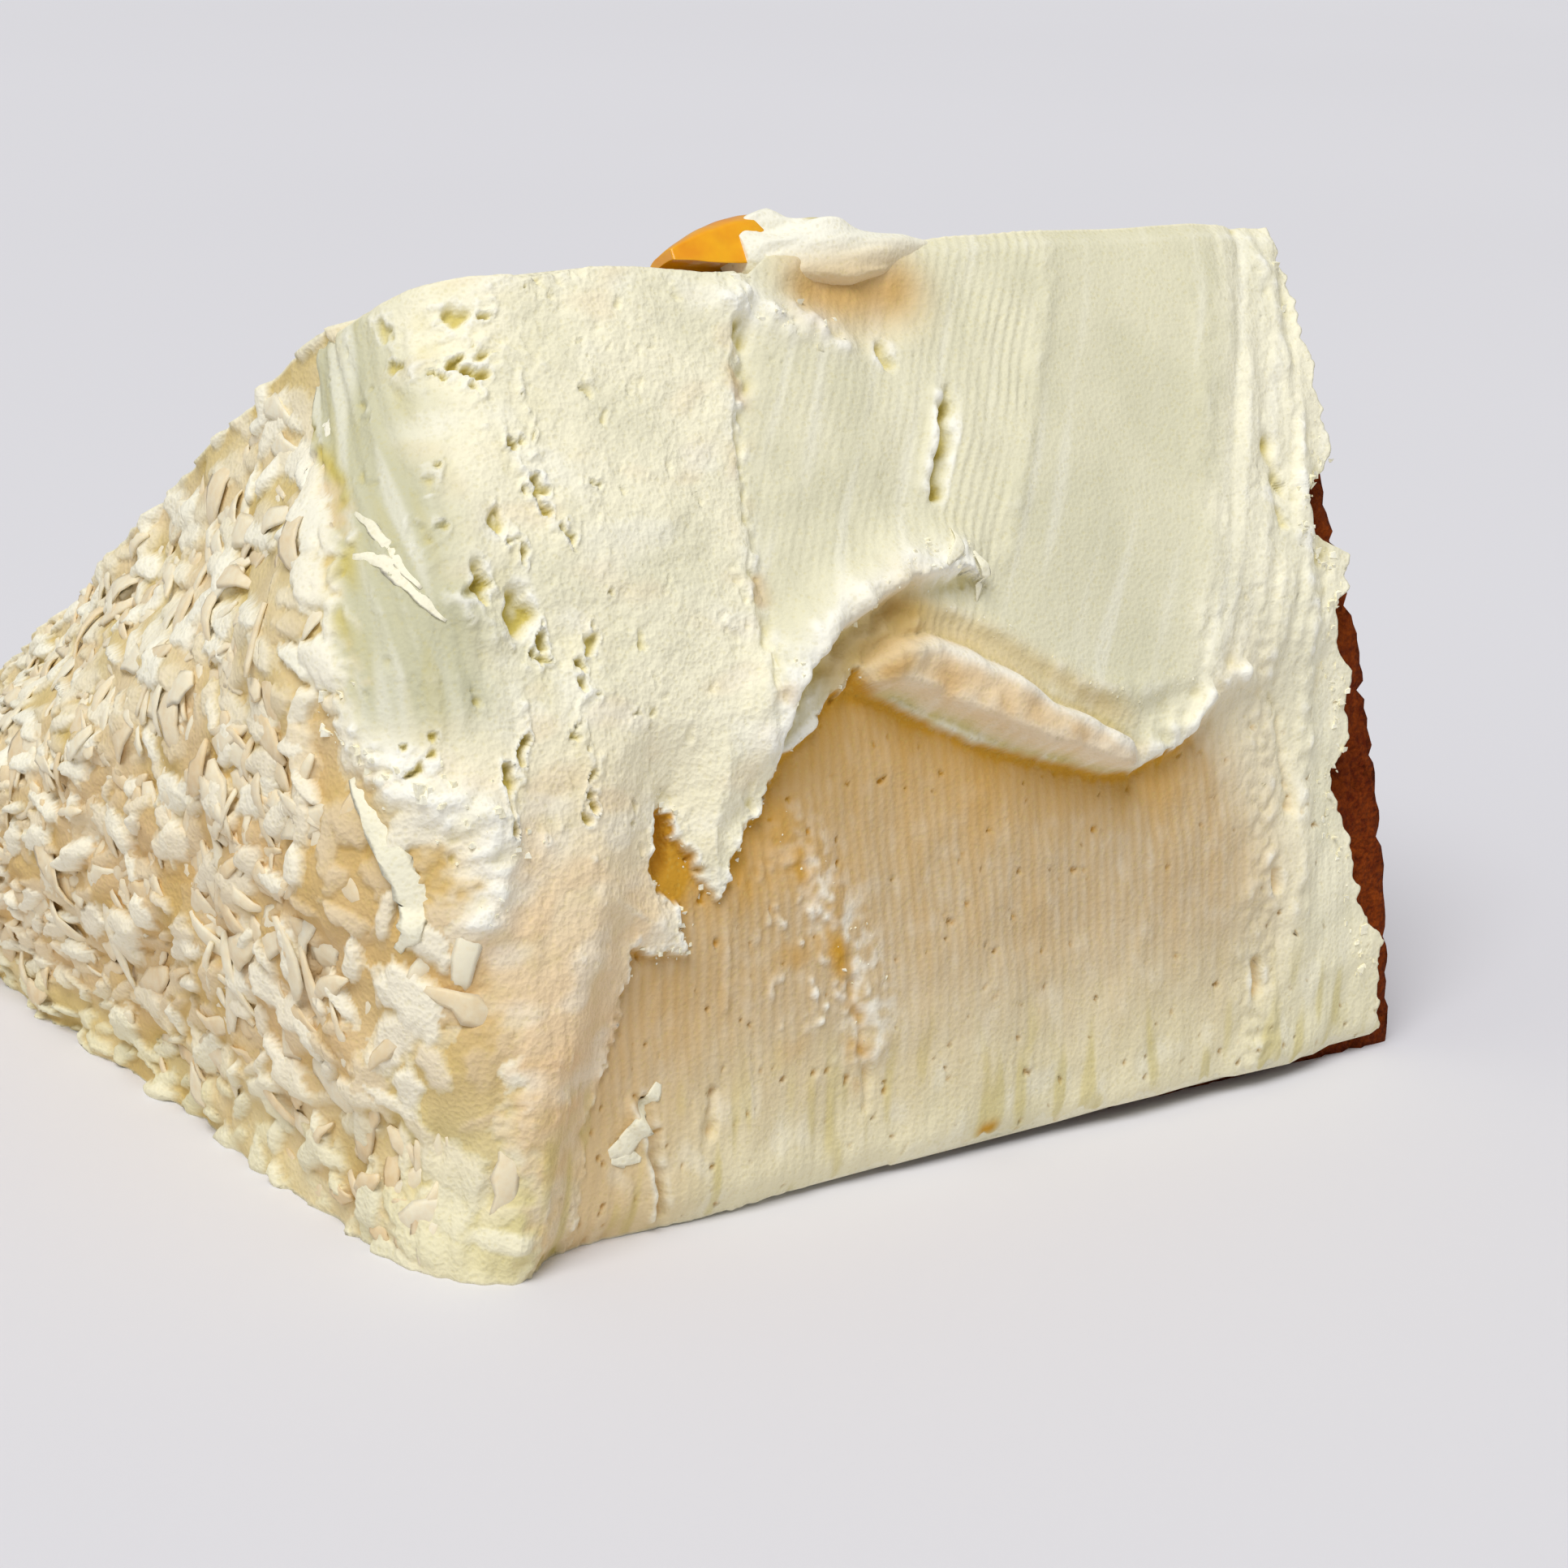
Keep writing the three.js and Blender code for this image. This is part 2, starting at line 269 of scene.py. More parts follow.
def cake():
    shares, faces = block_grid((108, 152, 88))
    along, inward, up = shares.T
    bottom = CAKE_HEIGHT - BOTTOM_LEAN * up
    x = mix(TOP_FROSTING, bottom, along)
    radius = mix(CORE_RADIUS, BLUNT_TIP, inward)
    flat = slice_point(x, radius, up)
    rough = [0.2 * noise(flat, 2.4, seed) + 0.2 * noise(flat, 1.1, seed + 1) for seed in (1, 3, 5)]
    # Pits sunk into the cut sides; the material also paints shade in them.
    pit = ramp(0.3, 0.75, noise(flat, 1.9, 8) + 0.5 * noise(flat, 0.9, 9) + 0.3 * noise(flat, 9, 10))
    sunk = PIT_DEPTH * pit[:, None] * unit(np.array(CAKE_MIDDLE) - flat)
    points = flat + np.stack(rough, -1) + sunk
    points[:, 2] = np.where(up == 0, 0, np.maximum(points[:, 2], 0))
    to_crust = np.minimum(CORE_RADIUS - radius, bottom - x) + 0.5 * noise(flat, 1.5, 7)
    return points, faces, 1 - ramp(0.6, 1.5, to_crust), pit


cake_points, cake_faces, cake_crust, cake_pits = cake()
cake_piece = make_piece(
    "pound_cake", cake_points, cake_faces, baked_cake(), crust=cake_crust, pit=cake_pits,
)
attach(cake_piece, "root")
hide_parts("cake_slice")

# The frosting on the wall: stiff whipped cream frosting, spread with a comb and a palette knife, and
# torn when the slice was cut out, so that a thick upper coat hangs over a thin lower one.
# Places on it are measured along the cake's height (u) and up the wall (s), in millimetres.
ARC = WALL_RADIUS * SLICE_ANGLE
SHOULDER = 9.0
TOP_BULGE = 9.0
OVERLAY = 2.4
FOOT_LIFT = 1.8
WALL_COLUMNS, WALL_ROWS = 300, 310
COMB_PITCH = 0.9
FLAKE_CELL = 3.0
# Where the knife's smooth stroke and its streaked strip start (u, s), and how far each leans along
# the cake for each step up the wall
STROKE_START, STROKE_LEAN = (44.0, 43.0), 0.513
STRIP_START, STRIP_LEAN = (60.7, 33.6), 0.374
STREAK_LEAN = 0.37
# Where a patch of the upper coat was torn off and where the knife pulled crumbs, with half widths
PATCH_SPOT, PATCH_LEAN, PATCH_WIDTH = (23.5, 26.0), 0.2, 4.0
PULLED_AT, PULLED_WIDTH = 68.5, 2.2

# Lines on the frosting, as places (u, s), but as (s, u) for FROSTING_END, COCONUT_EDGE and SEAM, which
# run up the wall, and as (u, drop) for the upper edge
TORN_EDGE = [
    (5, -2), (6.3, 8.6), (7.2, 11.4), (8.2, 13.1), (9.2, 16), (9.5, 18), (10.7, 19.1), (10.4, 20.6),
    (13, 20), (15.1, 19.9), (14.5, 21.8), (14.5, 23.4), (12.9, 24.4), (12.5, 26.5), (13.3, 29.7),
    (14, 30.7), (14.4, 29.6), (15.3, 26.4), (16.3, 24.7), (17.5, 23), (18.6, 24.3), (19.6, 26.8),
    (21.8, 28.7), (23.1, 31.2), (25.2, 32.7), (28.2, 35.4), (30.5, 37.1), (31.8, 35.8), (33.7, 34.6),
    (40.5, 31), (46.5, 29), (52.4, 27.3), (55.3, 26.9), (58.5, 28.3), (61.1, 29.2), (65.5, 30),
    (90, 30),
]
FROSTING_END = [
    (0, 83.2), (7, 82.2), (8.4, 82.4), (11, 79.9), (16.8, 78.9), (19.3, 77.5), (22.8, 77), (25.4, 79.3),
    (28.2, 79.1), (30.8, 79.7), (32.5, 77.9), (36.5, 77.6), (37.5, 79.8), (40, 79.6), (41.2, 77.4),
    (43, 75.8), (45.3, 75.8), (46.8, 78.6), (48, 80), (52, 80), (ARC, 80.6),
]
COCONUT_EDGE = [
    (2, 1.7), (8, 0.9), (17, -0.4), (25, -2.2), (29, -3.4), (32, -6), (38, -7.4), (45.6, -7),
    (54.6, -4.6), (60.5, -8), (64, -9), (ARC, -11),
]
UPPER_EDGE_DROP = [
    (-12, 1), (3.6, 0.5), (6, 1), (10, 1.8), (15, 1.4), (20, 1.6), (25, 2.2), (28.5, 2.2), (31, 0.6),
    (46, 0),
]
SEAM = [(34, 22.6), (42, 22.7), (48.6, 23.2), (58.3, 24.9), (63.6, 27.2), (ARC, 28.5)]
ROLL_CREST = [
    (30, 37), (33, 38.8), (36.4, 38.8), (41.8, 36.4), (46.8, 33.3), (51.6, 30.6), (55.2, 29), (59, 28.6),
]
ROLL_FOOT = [(30, 35.8), (33.7, 34.6), (40.5, 31), (46.5, 29), (52.4, 27.3), (56, 26.9), (59, 27.8)]
ROLL_MARGIN = [(36.5, 42), (40, 40.2), (43.7, 38), (49.8, 34.3), (55, 32.7), (60.7, 33.2)]
LIMB = [(22.8, 33.6), (24.2, 36.8), (26.8, 39.3), (30.3, 41.4), (35, 43.2), (39.5, 43.4)]
WHITE_RIM = [
    (-8.4, 39.3), (-7.3, 36.4), (-5.3, 35.1), (-3, 32.9), (-0.6, 31), (-0.7, 28.5), (-1.5, 25.1),
]
CRACK = [(22.4, 34.5), (23, 48.6), (24.8, 58.3), (27, 63.6)]
TUCK = [(29.5, 37.6), (34.5, 40.6)]
# Where shade is painted in the tear hole.
TEAR_HOLE = [(13.4, 25), (14, 29.5)]
AMBER_SPECK = [(41.2, 2), (41.8, 2.1)]
CRUMB_FRINGE = [(24.6, 27), (27.4, 21), (29.6, 16), (30.6, 10.6)]
FRINGE_SHADE = [(25.2, 25.5), (26.6, 22), (28.4, 15.4), (29.8, 8)]
LUMP_CLUMPS = [(26, 63.4), (29, 62.6), (32.5, 61.6), (34.5, 60.6)]
# Where the lump's shadow is painted.
UNDER_LUMP = [(33.8, 64.4), (36.5, 63.8), (41, 64)]
# Paths of raised lines and of grooves, each with its half width and its height or depth
RIDGES = [
    ([(55.9, 66.1), (52.5, 59), (46.6, 47.3), (44.6, 43.6)], 0.9, 0.28),
    ([(57, 28.5), (62, 31), (66, 33)], 1.6, 1.1),
    ([(78, 64), (75, 40), (72, 14)], 1.2, 0.6),
    ([(69.5, 62), (65, 46), (62.5, 34)], 1.6, 0.3),
    ([(10.2, 9.8), (11.8, 4.5), (12.3, 1.2)], 0.5, 0.7),
    (CRUMB_FRINGE, 1.7, 0.4),
    ([(18.7, 22.6), (18.4, 19), (18.2, 15.4)], 0.4, 0.2),
    (ROLL_MARGIN, 0.9, 0.35),
    ([(29.5, 37.4), (32, 39), (36, 40.6)], 1.8, 0.9),
    (LUMP_CLUMPS, 1.5, 1.0),
    ([(41.7, 55.4), (40.5, 52.4), (38.9, 49.3)], 0.7, 0.7),
    ([(-0.4, 45.1), (1.3, 42.9)], 1.0, 0.8),
    ([(2.7, 61.9), (1.2, 56.1), (-0.1, 50.5)], 0.45, 0.4),
    ([(3.3, 59.2), (0.9, 52.7)], 0.35, 0.3),
    ([(2.9, 64.2), (1.7, 59.7)], 0.4, 0.3),
    (WHITE_RIM, 1.5, 1.2),
]
GROOVES = [
    ([(11.3, 9.6), (12.4, 4.5), (12.9, 1.1)], 0.45, 1.0),
    ([(16.9, 9.2), (16.6, 6.5)], 0.45, 0.7),
    ([(42.9, 55.3), (41.7, 53.4), (41.9, 52.2), (40.5, 50.6), (39.8, 48.7)], 0.55, 1.4),
    ([(22.4, 34.5), (22.5, 42), (23, 48.6), (24.8, 58.3), (27, 63.6)], 0.45, 0.45),
    ([(25.6, 57.5), (26.4, 61.5)], 0.7, 0.8),
    ([(24.3, 33.8), (26.5, 37), (30.5, 39.8), (34, 41.3)], 0.7, 0.8),
    ([(28.7, 15.6), (29.9, 10), (30.4, 6)], 0.4, 0.4),
    ([(72.6, 50), (72.9, 46.5)], 0.6, 0.7),
    ([(70.4, 31), (71.6, 22)], 0.5, 0.4),
]
# Pits: middle, half width and half height, and depth
PITS = [
    ((3.6, 43.9), (1.1, 2.0), 1.3), ((3.3, 50), (0.7, 1.1), 0.8), ((1.2, 46.4), (0.6, 1.5), 0.8),
    ((5.4, 64.1), (0.8, 0.9), 0.8), ((38.5, 58.9), (0.7, 1.5), 0.9), ((13.6, 27.5), (1.0, 2.8), 1.3),
    ((32, 38.4), (2.2, 1.6), 0.3), ((72.5, 44), (0.6, 0.9), 0.6), ((36.8, 62.8), (7, 4), 0.9),
]
CREAM = (250, 244, 215)
# Tints of the frosting. Besides the frosting's own tones, the greyish, peachy, brownish, yellowish and
# golden tints also carry painted shade, and the whitest one carries painted highlights.
FROSTING_TINTS = {
    "grey": (203, 200, 168), "peach": (236, 204, 160), "tan": (196, 166, 119),
    "white": (253, 251, 238), "olive": (206, 190, 104), "amber": (204, 152, 48),
}


def top_swell(radius, share):
    """How far the cake's top bulges, at a radius and a share of the slice's angle."""
    up_slice = mix(0.6, 1, ramp(0, 0.5, share)) * (1 - ramp(0.6, 1, share))
    return TOP_BULGE * ramp(8, 55, radius) * up_slice


def shoulder_start(share):
    return SHOULDER - top_swell(WALL_RADIUS, share)


def top_reach(share):
    """Where the rounded shoulder has turned into the top."""
    return shoulder_start(share) - SHOULDER * math.pi / 2


def coat_point(u, share, height):
    """A place on the frosting, followed from the wall round the shoulder and over the top."""
    start = shoulder_start(share)
    turn = np.clip((start - u) / SHOULDER, 0, math.pi / 2)
    beyond = np.maximum(start - u - SHOULDER * math.pi / 2, 0)
    nominal = WALL_RADIUS - beyond
    x = np.maximum(u, start) - SHOULDER * np.sin(turn) - height * np.sin(turn)
    x = x - np.where(beyond > 0, top_swell(nominal, share) - top_swell(WALL_RADIUS, share), 0)
    return slice_point(x, nominal - SHOULDER * (1 - np.cos(turn)) + height * np.cos(turn), share)


def between(points, value):
    """The second number of a list of points, at a value of the first."""
    inputs, outputs = zip(*points)
    return np.interp(value, inputs, outputs)


def path_distance(path, u, s):
    nearest = np.full(np.shape(u), np.inf)
    for (u0, s0), (u1, s1) in zip(path, path[1:]):
        du, ds = u1 - u0, s1 - s0
        share = np.clip(((u - u0) * du + (s - s0) * ds) / (du * du + ds * ds), 0, 1)
        nearest = np.minimum(nearest, np.hypot(u - u0 - share * du, s - s0 - share * ds))
    return nearest


def within(outline, u, s):
    inside = np.zeros(np.shape(u), bool)
    for (u0, s0), (u1, s1) in zip(outline, outline[1:] + outline[:1]):
        if s0 != s1:
            crossing = u0 + (s - s0) * (u1 - u0) / (s1 - s0)
            inside ^= ((s0 > s) != (s1 > s)) & (u < crossing)
    return inside


def bump_along(path, width, u, s):
    return np.exp(-(path_distance(path, u, s) / width) ** 2)


def flat_noise(u, s, size, seed, stretch=1.0):
    """Noise over the frosting, with lumps that may be stretched up the wall."""
    return noise(np.stack([u, s / stretch, np.full(np.shape(u), seed * 3.7)], -1), size, seed)


def patches(u, s, low, high, size, seed, stretch=1.0):
    """Soft-edged patches of the noise: 0 below the lower bound, and 1 above the higher one."""
    return ramp(low, high, flat_noise(u, s, size, seed, stretch))


def torn_distance(u, s):
    """How far inside the thick coat a place is, less than nothing on the thin coat."""
    bare = within(TORN_EDGE + [(90, -9), (5, -9)], u, s)
    return np.where(bare, -1, 1) * path_distance(TORN_EDGE, u, s)


def ragged_line(u, s):
    """How far a torn line strays: much where it broke, and little along the rolled lip."""
    rolled = ramp(30, 33, u) * (1 - ramp(55, 59, u)) * (1 - ramp(40, 44, s))
    stray = 0.5 * flat_noise(u, s, 1.4, 21) + 0.4 * flat_noise(u, s, 0.6, 22)
    return stray * (1 - 0.8 * rolled)


def rough_side(u, s):
    """1 on the torn rough frosting left of the seam, and 0 on the combed frosting right of it."""
    return 1 - ramp(-0.8, 0.8, u - between(SEAM, s) + ragged_line(u, s))


def thick_share(u, s):
    """1 where the thick upper coat lies, and 0 on the thin coat."""
    soft = mix(0.3, 14, ramp(60, 68, u))
    return ramp(-soft, soft, torn_distance(u, s) + ragged_line(u, s))


def knife_band(u, s):
    """1 on the streaked strip that the knife left beside the browned bottom."""
    past = u - STRIP_START[0] - STRIP_LEAN * (s - STRIP_START[1])
    return ramp(-1.5, 2.5, past + 1.2 * flat_noise(u, s, 4, 24))


def smooth_patch(u, s):
    """1 on the broad smooth stroke of the knife beside that strip."""
    past = u - STROKE_START[0] - STROKE_LEAN * (s - STROKE_START[1])
    return ramp(-1, 1, past) * (1 - knife_band(u, s)) * ramp(30, 35, s)


def smeared_left(u, s):
    """1 on the smeared frosting beside the coconut."""
    return (1 - ramp(-1.5, 3.5, u + 1.5 * flat_noise(u, s, 5, 23))) * ramp(34, 40, s)


def whipped_grain(u, s):
    """Rough frosting: fine grain, soft lumps, and open pits where strings of it pulled apart."""
    fine = 0.06 * flat_noise(u, s, 0.5, 11) + 0.09 * flat_noise(u, s, 1.1, 12)
    lumps = 0.16 * (np.abs(flat_noise(u, s, 2.8, 13)) - 0.3) + 0.3 * flat_noise(u, s, 5, 14)
    pitted = 0.2 + 0.8 * (1 - ramp(5, 15, u)) * ramp(22, 34, s)
    torn = flat_noise(u, s, 2.0, 15, 1.4) + 0.55 * flat_noise(u, s, 0.8, 16)
    rims = ramp(0.1, 0.45, torn) * (1 - ramp(0.45, 0.6, torn))
    crumbly = 0.25 * rims * (1 + flat_noise(u, s, 0.7, 73))
    return fine + lumps + pitted * (crumbly - 0.9 * ramp(0.45, 0.8, torn))


def roll_height(u, s):
    """The rolled lip of the upper coat: a round crest, and a lumpy face that leans in to its foot."""
    crest, foot = between(ROLL_CREST, u), between(ROLL_FOOT, u)
    down = (crest - s + 0.2 * ragged_line(u, s) + 0.5 * flat_noise(u, s, 4, 62)) / (crest - foot)
    bulge = 4.3 - 1.1 * np.clip(down, 0, 1) ** 1.5 + 0.5 * flat_noise(u, s, 3.2, 25)
    bulge = bulge + 0.25 * flat_noise(u, s, 1.3, 56)
    ends = ramp(29.5, 33, u) * (1 - ramp(52, 57.5, u))
    return bulge * ends * ramp(-0.34, 0.2, down) * (1 - ramp(0.66, 1.02, down)) ** 0.8


def torn_patch(u, s):
    """1 where the thick coat was pulled off the thin one and left crumbs on it."""
    aside = u - PATCH_LEAN * (PATCH_SPOT[1] - s) - PATCH_SPOT[0]
    return np.exp(-(aside / PATCH_WIDTH) ** 2) * ramp(7, 13, s) * (1 - ramp(23, 28, s))


def left_crumbs(u, s):
    """The crumbs of that patch."""
    return ramp(0.1, 0.8, flat_noise(u, s, 1.9, 79, 1.4) + 0.9 * flat_noise(u, s, 0.7, 86))


def small_pores(u, s):
    return ramp(0.6, 1.0, flat_noise(u, s, 0.9, 35) + 0.4 * flat_noise(u, s, 0.45, 51))


def comb_lines(u, s):
    """Upright lines of the comb on the thin coat, from -1 to 1."""
    return np.sin(2 * math.pi * (u + 0.3 * flat_noise(u, s, 9, 32)) / COMB_PITCH)


def combed(u, s):
    """Fine lines of the comb, the streaks of the knife, and small pores."""
    cover, patch, band = thick_share(u, s), smooth_patch(u, s), knife_band(u, s)
    lean = u - STROKE_LEAN * (s - STROKE_START[1]) + 0.4 * flat_noise(u, s, 9, 31)
    faint = 0.6 + 0.8 * flat_noise(u, s, 6, 39)
    upper = mix(0.03, 0.1, np.exp(-((lean - 40) / 4.5) ** 2)) * np.sin(2 * math.pi * lean / COMB_PITCH)
    lower = 0.028 * comb_lines(u, s)
    streaks = 0.4 * flat_noise(u - STREAK_LEAN * s, s, 1.5, 33, 9) + 0.09 * flat_noise(u, s, 0.6, 34)
    pores = 0.16 * small_pores(u, s) * (1 - patch)
    plain = 0.18 * flat_noise(u, s, 3.5, 36) + 0.07 * flat_noise(u, s, 1.1, 37, 2)
    lines = faint * (upper * cover * (1 - patch) + lower * (1 - cover))
    rolled = 1 - 0.8 * np.clip(roll_height(u, s) / 2, 0, 1)
    streaked = band * mix(0.25, 1, ramp(24, 36, s))
    return rolled * (mix(lines, streaks, streaked) - pores * (2 - cover) + plain * (1 - 0.6 * patch))


def limb_fold(u, s):
    """The fold at the left of the rolled lip. It swells slowly and breaks off sharp on its inner side."""
    inner = within(LIMB + [(46, 40), (46, 20), (22.8, 20)], u, s)
    reach = (path_distance(LIMB, u, s) + 0.6 * ragged_line(u, s) * inner) / np.where(inner, 0.7, 2.4)
    return np.exp(-reach ** 2) * (1 + 0.35 * flat_noise(u, s, 3, 26) + 0.12 * flat_noise(u, s, 1.3, 65))


def roll_valley(u, s):
    """The furrow behind the rolled lip."""
    across = np.exp(-((s - between(ROLL_CREST, u) - 1.9) / 1.2) ** 2)
    return across * ramp(32, 36, u) * (1 - ramp(52, 57, u))


def pressed_flakes(u, s):
    """Flat flakes pressed over one another: how high each place lies, and the tone of its flake."""
    place = np.stack([u, s], -1)
    cell = np.floor(place / FLAKE_CELL).astype(np.int64)
    rise, tone = np.full(place.shape[:-1], -0.5), np.zeros(place.shape[:-1])
    ragged = 0.24 * flat_noise(u, s, 1.3, 28) + 0.16 * flat_noise(u, s, 0.6, 48)
    for step in itertools.product(range(-2, 3), repeat=2):
        owner = cell + step
        key = scrambled(np.concatenate([owner, 0 * owner[..., :1]], -1), 27)
        bits = [(key >> np.uint64(bit)) & np.uint64(31) for bit in range(0, 30, 5)]
        draws = [bit.astype(float) / 31 for bit in bits]
        away = place - (owner + np.stack(draws[:2], -1)) * FLAKE_CELL
        turn = math.pi * draws[2]
        ahead = away[..., 0] * np.cos(turn) + away[..., 1] * np.sin(turn)
        aside = away[..., 1] * np.cos(turn) - away[..., 0] * np.sin(turn)
        half = FLAKE_CELL * mix(0.6, 1.3, draws[3])
        slim = half * mix(0.3, 0.7, draws[4])
        rim = np.hypot(ahead / half, aside / slim) + ragged
        tilt = 0.22 * np.clip(aside / slim, -1, 1) + 0.15 * np.clip(ahead / half, -1, 1)
        level = 0.6 * draws[5] - 1.0 * ramp(0.4, 1.2, rim) + tilt
        tone = np.where((level > rise) & (rim < 1), draws[5], tone)
        rise = np.maximum(rise, level)
    return rise, tone


def flake_cover(u, s):
    """How thickly the flakes lie: sparse low on the shoulder, and dense elsewhere."""
    return np.maximum(ramp(8, 24, s), ramp(4, 14, between(COCONUT_EDGE, s) - u))


def bed_height(u, s):
    """The frosting under the coconut, with the flakes that are pressed flat into it."""
    streaks = 0.35 * flat_noise(u, s, 0.9, 18, 5)
    rise = pressed_flakes(u, s)[0]
    clumps = 0.9 * flat_noise(u, s, 6.5, 17) + 0.35 * flat_noise(u, s, 2.8, 72)
    return clumps + mix(0.3 * rise + streaks, rise, flake_cover(u, s))


def under_coconut(u, s):
    return 1 - ramp(-1.2, 1.2, u - between(COCONUT_EDGE, s) + 2 * ragged_line(u, s))


def marks(u, s):
    """Raised crumbly lines, grooves and pits, each a little wandering."""
    crumbly = 0.8 + 0.6 * flat_noise(u, s, 2.7, 44) + 0.4 * flat_noise(u, s, 1.2, 50)
    total = sum(rise * bump_along(path, width, u, s) for path, width, rise in RIDGES) * crumbly
    uneven = 0.85 + 0.6 * flat_noise(u, s, 1.1, 87)
    off_u = u + 0.45 * flat_noise(u, s, 1.3, 45)
    off_s = s + 0.45 * flat_noise(u, s, 1.3, 46)
    for path, width, depth in GROOVES:
        total = total - depth * uneven * bump_along(path, width, off_u, off_s)
    for (at_u, at_s), (wide, tall), depth in PITS:
        reach = np.hypot((off_u - at_u) / wide, (off_s - at_s) / tall)
        total = total - depth * (1 - ramp(0.4, 1.1, reach))
    return total


def thick_coat(u, s, rough, cover):
    """Height of the thick upper coat, with the fold and the rolled lip at its torn edge."""
    rim = mix(0.1, 0.9, ramp(12, 22, s))
    thick = mix(rim, OVERLAY + 0.8 * rough, ramp(0.0, 6.0, torn_distance(u, s))) * cover
    thick = np.maximum(thick + 2.6 * limb_fold(u, s), roll_height(u, s))
    return thick * (1 - ramp(0, SHOULDER * 1.3, shoulder_start(s / ARC) - u))


def pulled_strip(u, s):
    """Crumbs and holes that the knife pulled in the thin coat, near the browned bottom."""
    strip = np.exp(-((u - PULLED_AT) / PULLED_WIDTH) ** 2) * (1 - ramp(32, 40, s))
    crumbs = 0.5 * np.abs(flat_noise(u, s, 1.5, 82))
    return strip * (crumbs - 0.8 * patches(u, s, 0.35, 0.7, 2.2, 83, 1.5))


def coat_height(u, s):
    """Height of the frosting over the thin coat, with all that the knife and the tear left in it."""
    rough, cover, smear = rough_side(u, s), thick_share(u, s), smeared_left(u, s)
    frayed = cover * np.exp(-(torn_distance(u, s) / 1.1) ** 2) * (1 - ramp(29, 33, u))
    low_left = (1 - ramp(6, 18, u)) * (1 - ramp(12, 32, s))
    detail = marks(u, s) + rough * cover * (1 - 0.75 * smear) * whipped_grain(u, s)
    detail += frayed * (0.3 * np.abs(flat_noise(u, s, 0.6, 49)) + 0.6 * flat_noise(u, s, 2.1, 52))
    detail += (1 - rough * cover) * combed(u, s) - 0.3 * roll_valley(u, s) + pulled_strip(u, s)
    detail += 0.28 * torn_patch(u, s) * (1 - cover) * left_crumbs(u, s)
    detail += (0.32 * smear + 0.18 * low_left) * flat_noise(u, s, 0.9, 29, 7)
    detail += 0.3 * np.sin(u / 4.1 + s / 9) * np.sin(s / 5.3 - u / 11) - 1.6 * ramp(70, 80, u)
    detail -= 1.1 * np.exp(-(s / 1.6) ** 2) + 0.7 * np.exp(-((ARC - s) / 0.9) ** 2)
    return thick_coat(u, s, rough, cover) + mix(detail, bed_height(u, s), under_coconut(u, s))


def average(field, reach):
    """Mean of a grid over a square of cells, with its edges repeated."""
    sums = np.pad(field, ((reach + 1, reach), (reach + 1, reach)), mode="edge").cumsum(0).cumsum(1)
    size = 2 * reach + 1
    window = sums[size:, size:] - sums[:-size, size:] - sums[size:, :-size] + sums[:-size, :-size]
    return window / size ** 2


def closed_coat(outer, inner, flat_ends):
    """Outer and inner grids of a coat, joined into one closed mesh, and which of its faces are flat."""
    columns, rows = outer.shape[:2]
    outside = np.arange(columns * rows).reshape(columns, rows)
    inside = np.arange(len(inner) * rows).reshape(-1, rows) + outside.size
    ring = np.concatenate([outside, inside[::-1], outside[:1]])
    caps = [ring[:0:-1, 0].tolist(), ring[:-1, -1].tolist()]
    points = np.concatenate([outer.reshape(-1, 3), inner.reshape(-1, 3)])
    faces = [*grid_faces(ring).tolist(), *caps]
    flat = np.zeros(len(faces), bool)
    flat[-2:] = True
    for end in flat_ends:
        end %= len(ring) - 1
        flat[end * (rows - 1):(end + 1) * (rows - 1)] = True
    return points, faces, flat


def wall_share(u, rows):
    """How far up the wall a row lies: the coat ends a little off the floor and below the cut."""
    ragged = 1 + 0.4 * flat_noise(u, 0 * u, 1.7, 84) + 0.3 * flat_noise(u, 0 * u, 0.7, 85)
    return mix(FOOT_LIFT * ramp(4, 60, u) * ragged / ARC, 1 - between(UPPER_EDGE_DROP, u) / ARC, rows)


def wall_coat(left, right, rows):
    """Places and heights of the wall's frosting between two lines, and its hidden inner side."""
    u = mix(left, right, np.linspace(0, 1, WALL_COLUMNS + 1)[:, None])
    share = wall_share(u, rows)
    height = coat_height(u, share * ARC)
    inner_u = mix(np.maximum(left, TOP_FROSTING - 0.3), right, np.linspace(0, 1, 5)[:, None])
    inner = slice_point(inner_u, CORE_RADIUS + 0.1, wall_share(inner_u, rows))
    return u, share * ARC, height, coat_point(u, share, height), inner


def coat_surface(u, rows):
    share = wall_share(u, rows)
    return coat_point(u, share, coat_height(u, share * ARC))


def seam_normals(u, rows):
    """Directions straight off the frosting along a line, the same for the pieces on both its sides."""
    across = coat_surface(u + 0.09, rows) - coat_surface(u - 0.09, rows)
    upward = coat_surface(u, rows + 0.5 / WALL_ROWS) - coat_surface(u, rows - 0.5 / WALL_ROWS)
    return unit(np.cross(across, upward))


def coconut_bed_colours(u, s):
    """Tints of the frosting under the coconut: whiter high up, peachy and brownish low down, which is
    partly painted shade of the lower shoulder; painted shade in the gaps between the pressed flakes,
    yellowish and stronger high up, and golden; and a yellowish foot.
    """
    rise, tone = pressed_flakes(u, s)
    # Painted shade in the low gaps between the pressed flakes.
    gap, high = 1 - ramp(-0.35, 0.3, rise), ramp(28, 50, s)
    white = mix(0.4, 0.55, high) * ramp(0.3, 0.9, tone)
    # Peachy and brownish low down: partly painted shade of the lower shoulder.
    peach = mix(0.65, 0.25, high) * (1 - 0.7 * tone) * ramp(2, 14, s)
    golden = patches(u, s, -0.5, 0.5, 7, 67)
    olive = gap * mix(0.45, 0.75, high) * golden + 0.25 * (1 - ramp(4, 14, s))
    tan = mix(0.4, 0.25, high) * (1 - tone) * ramp(4, 16, s)
    return 0 * u, peach, tan, white, olive, gap * mix(0.5, 0.3, high) * flake_cover(u, s)


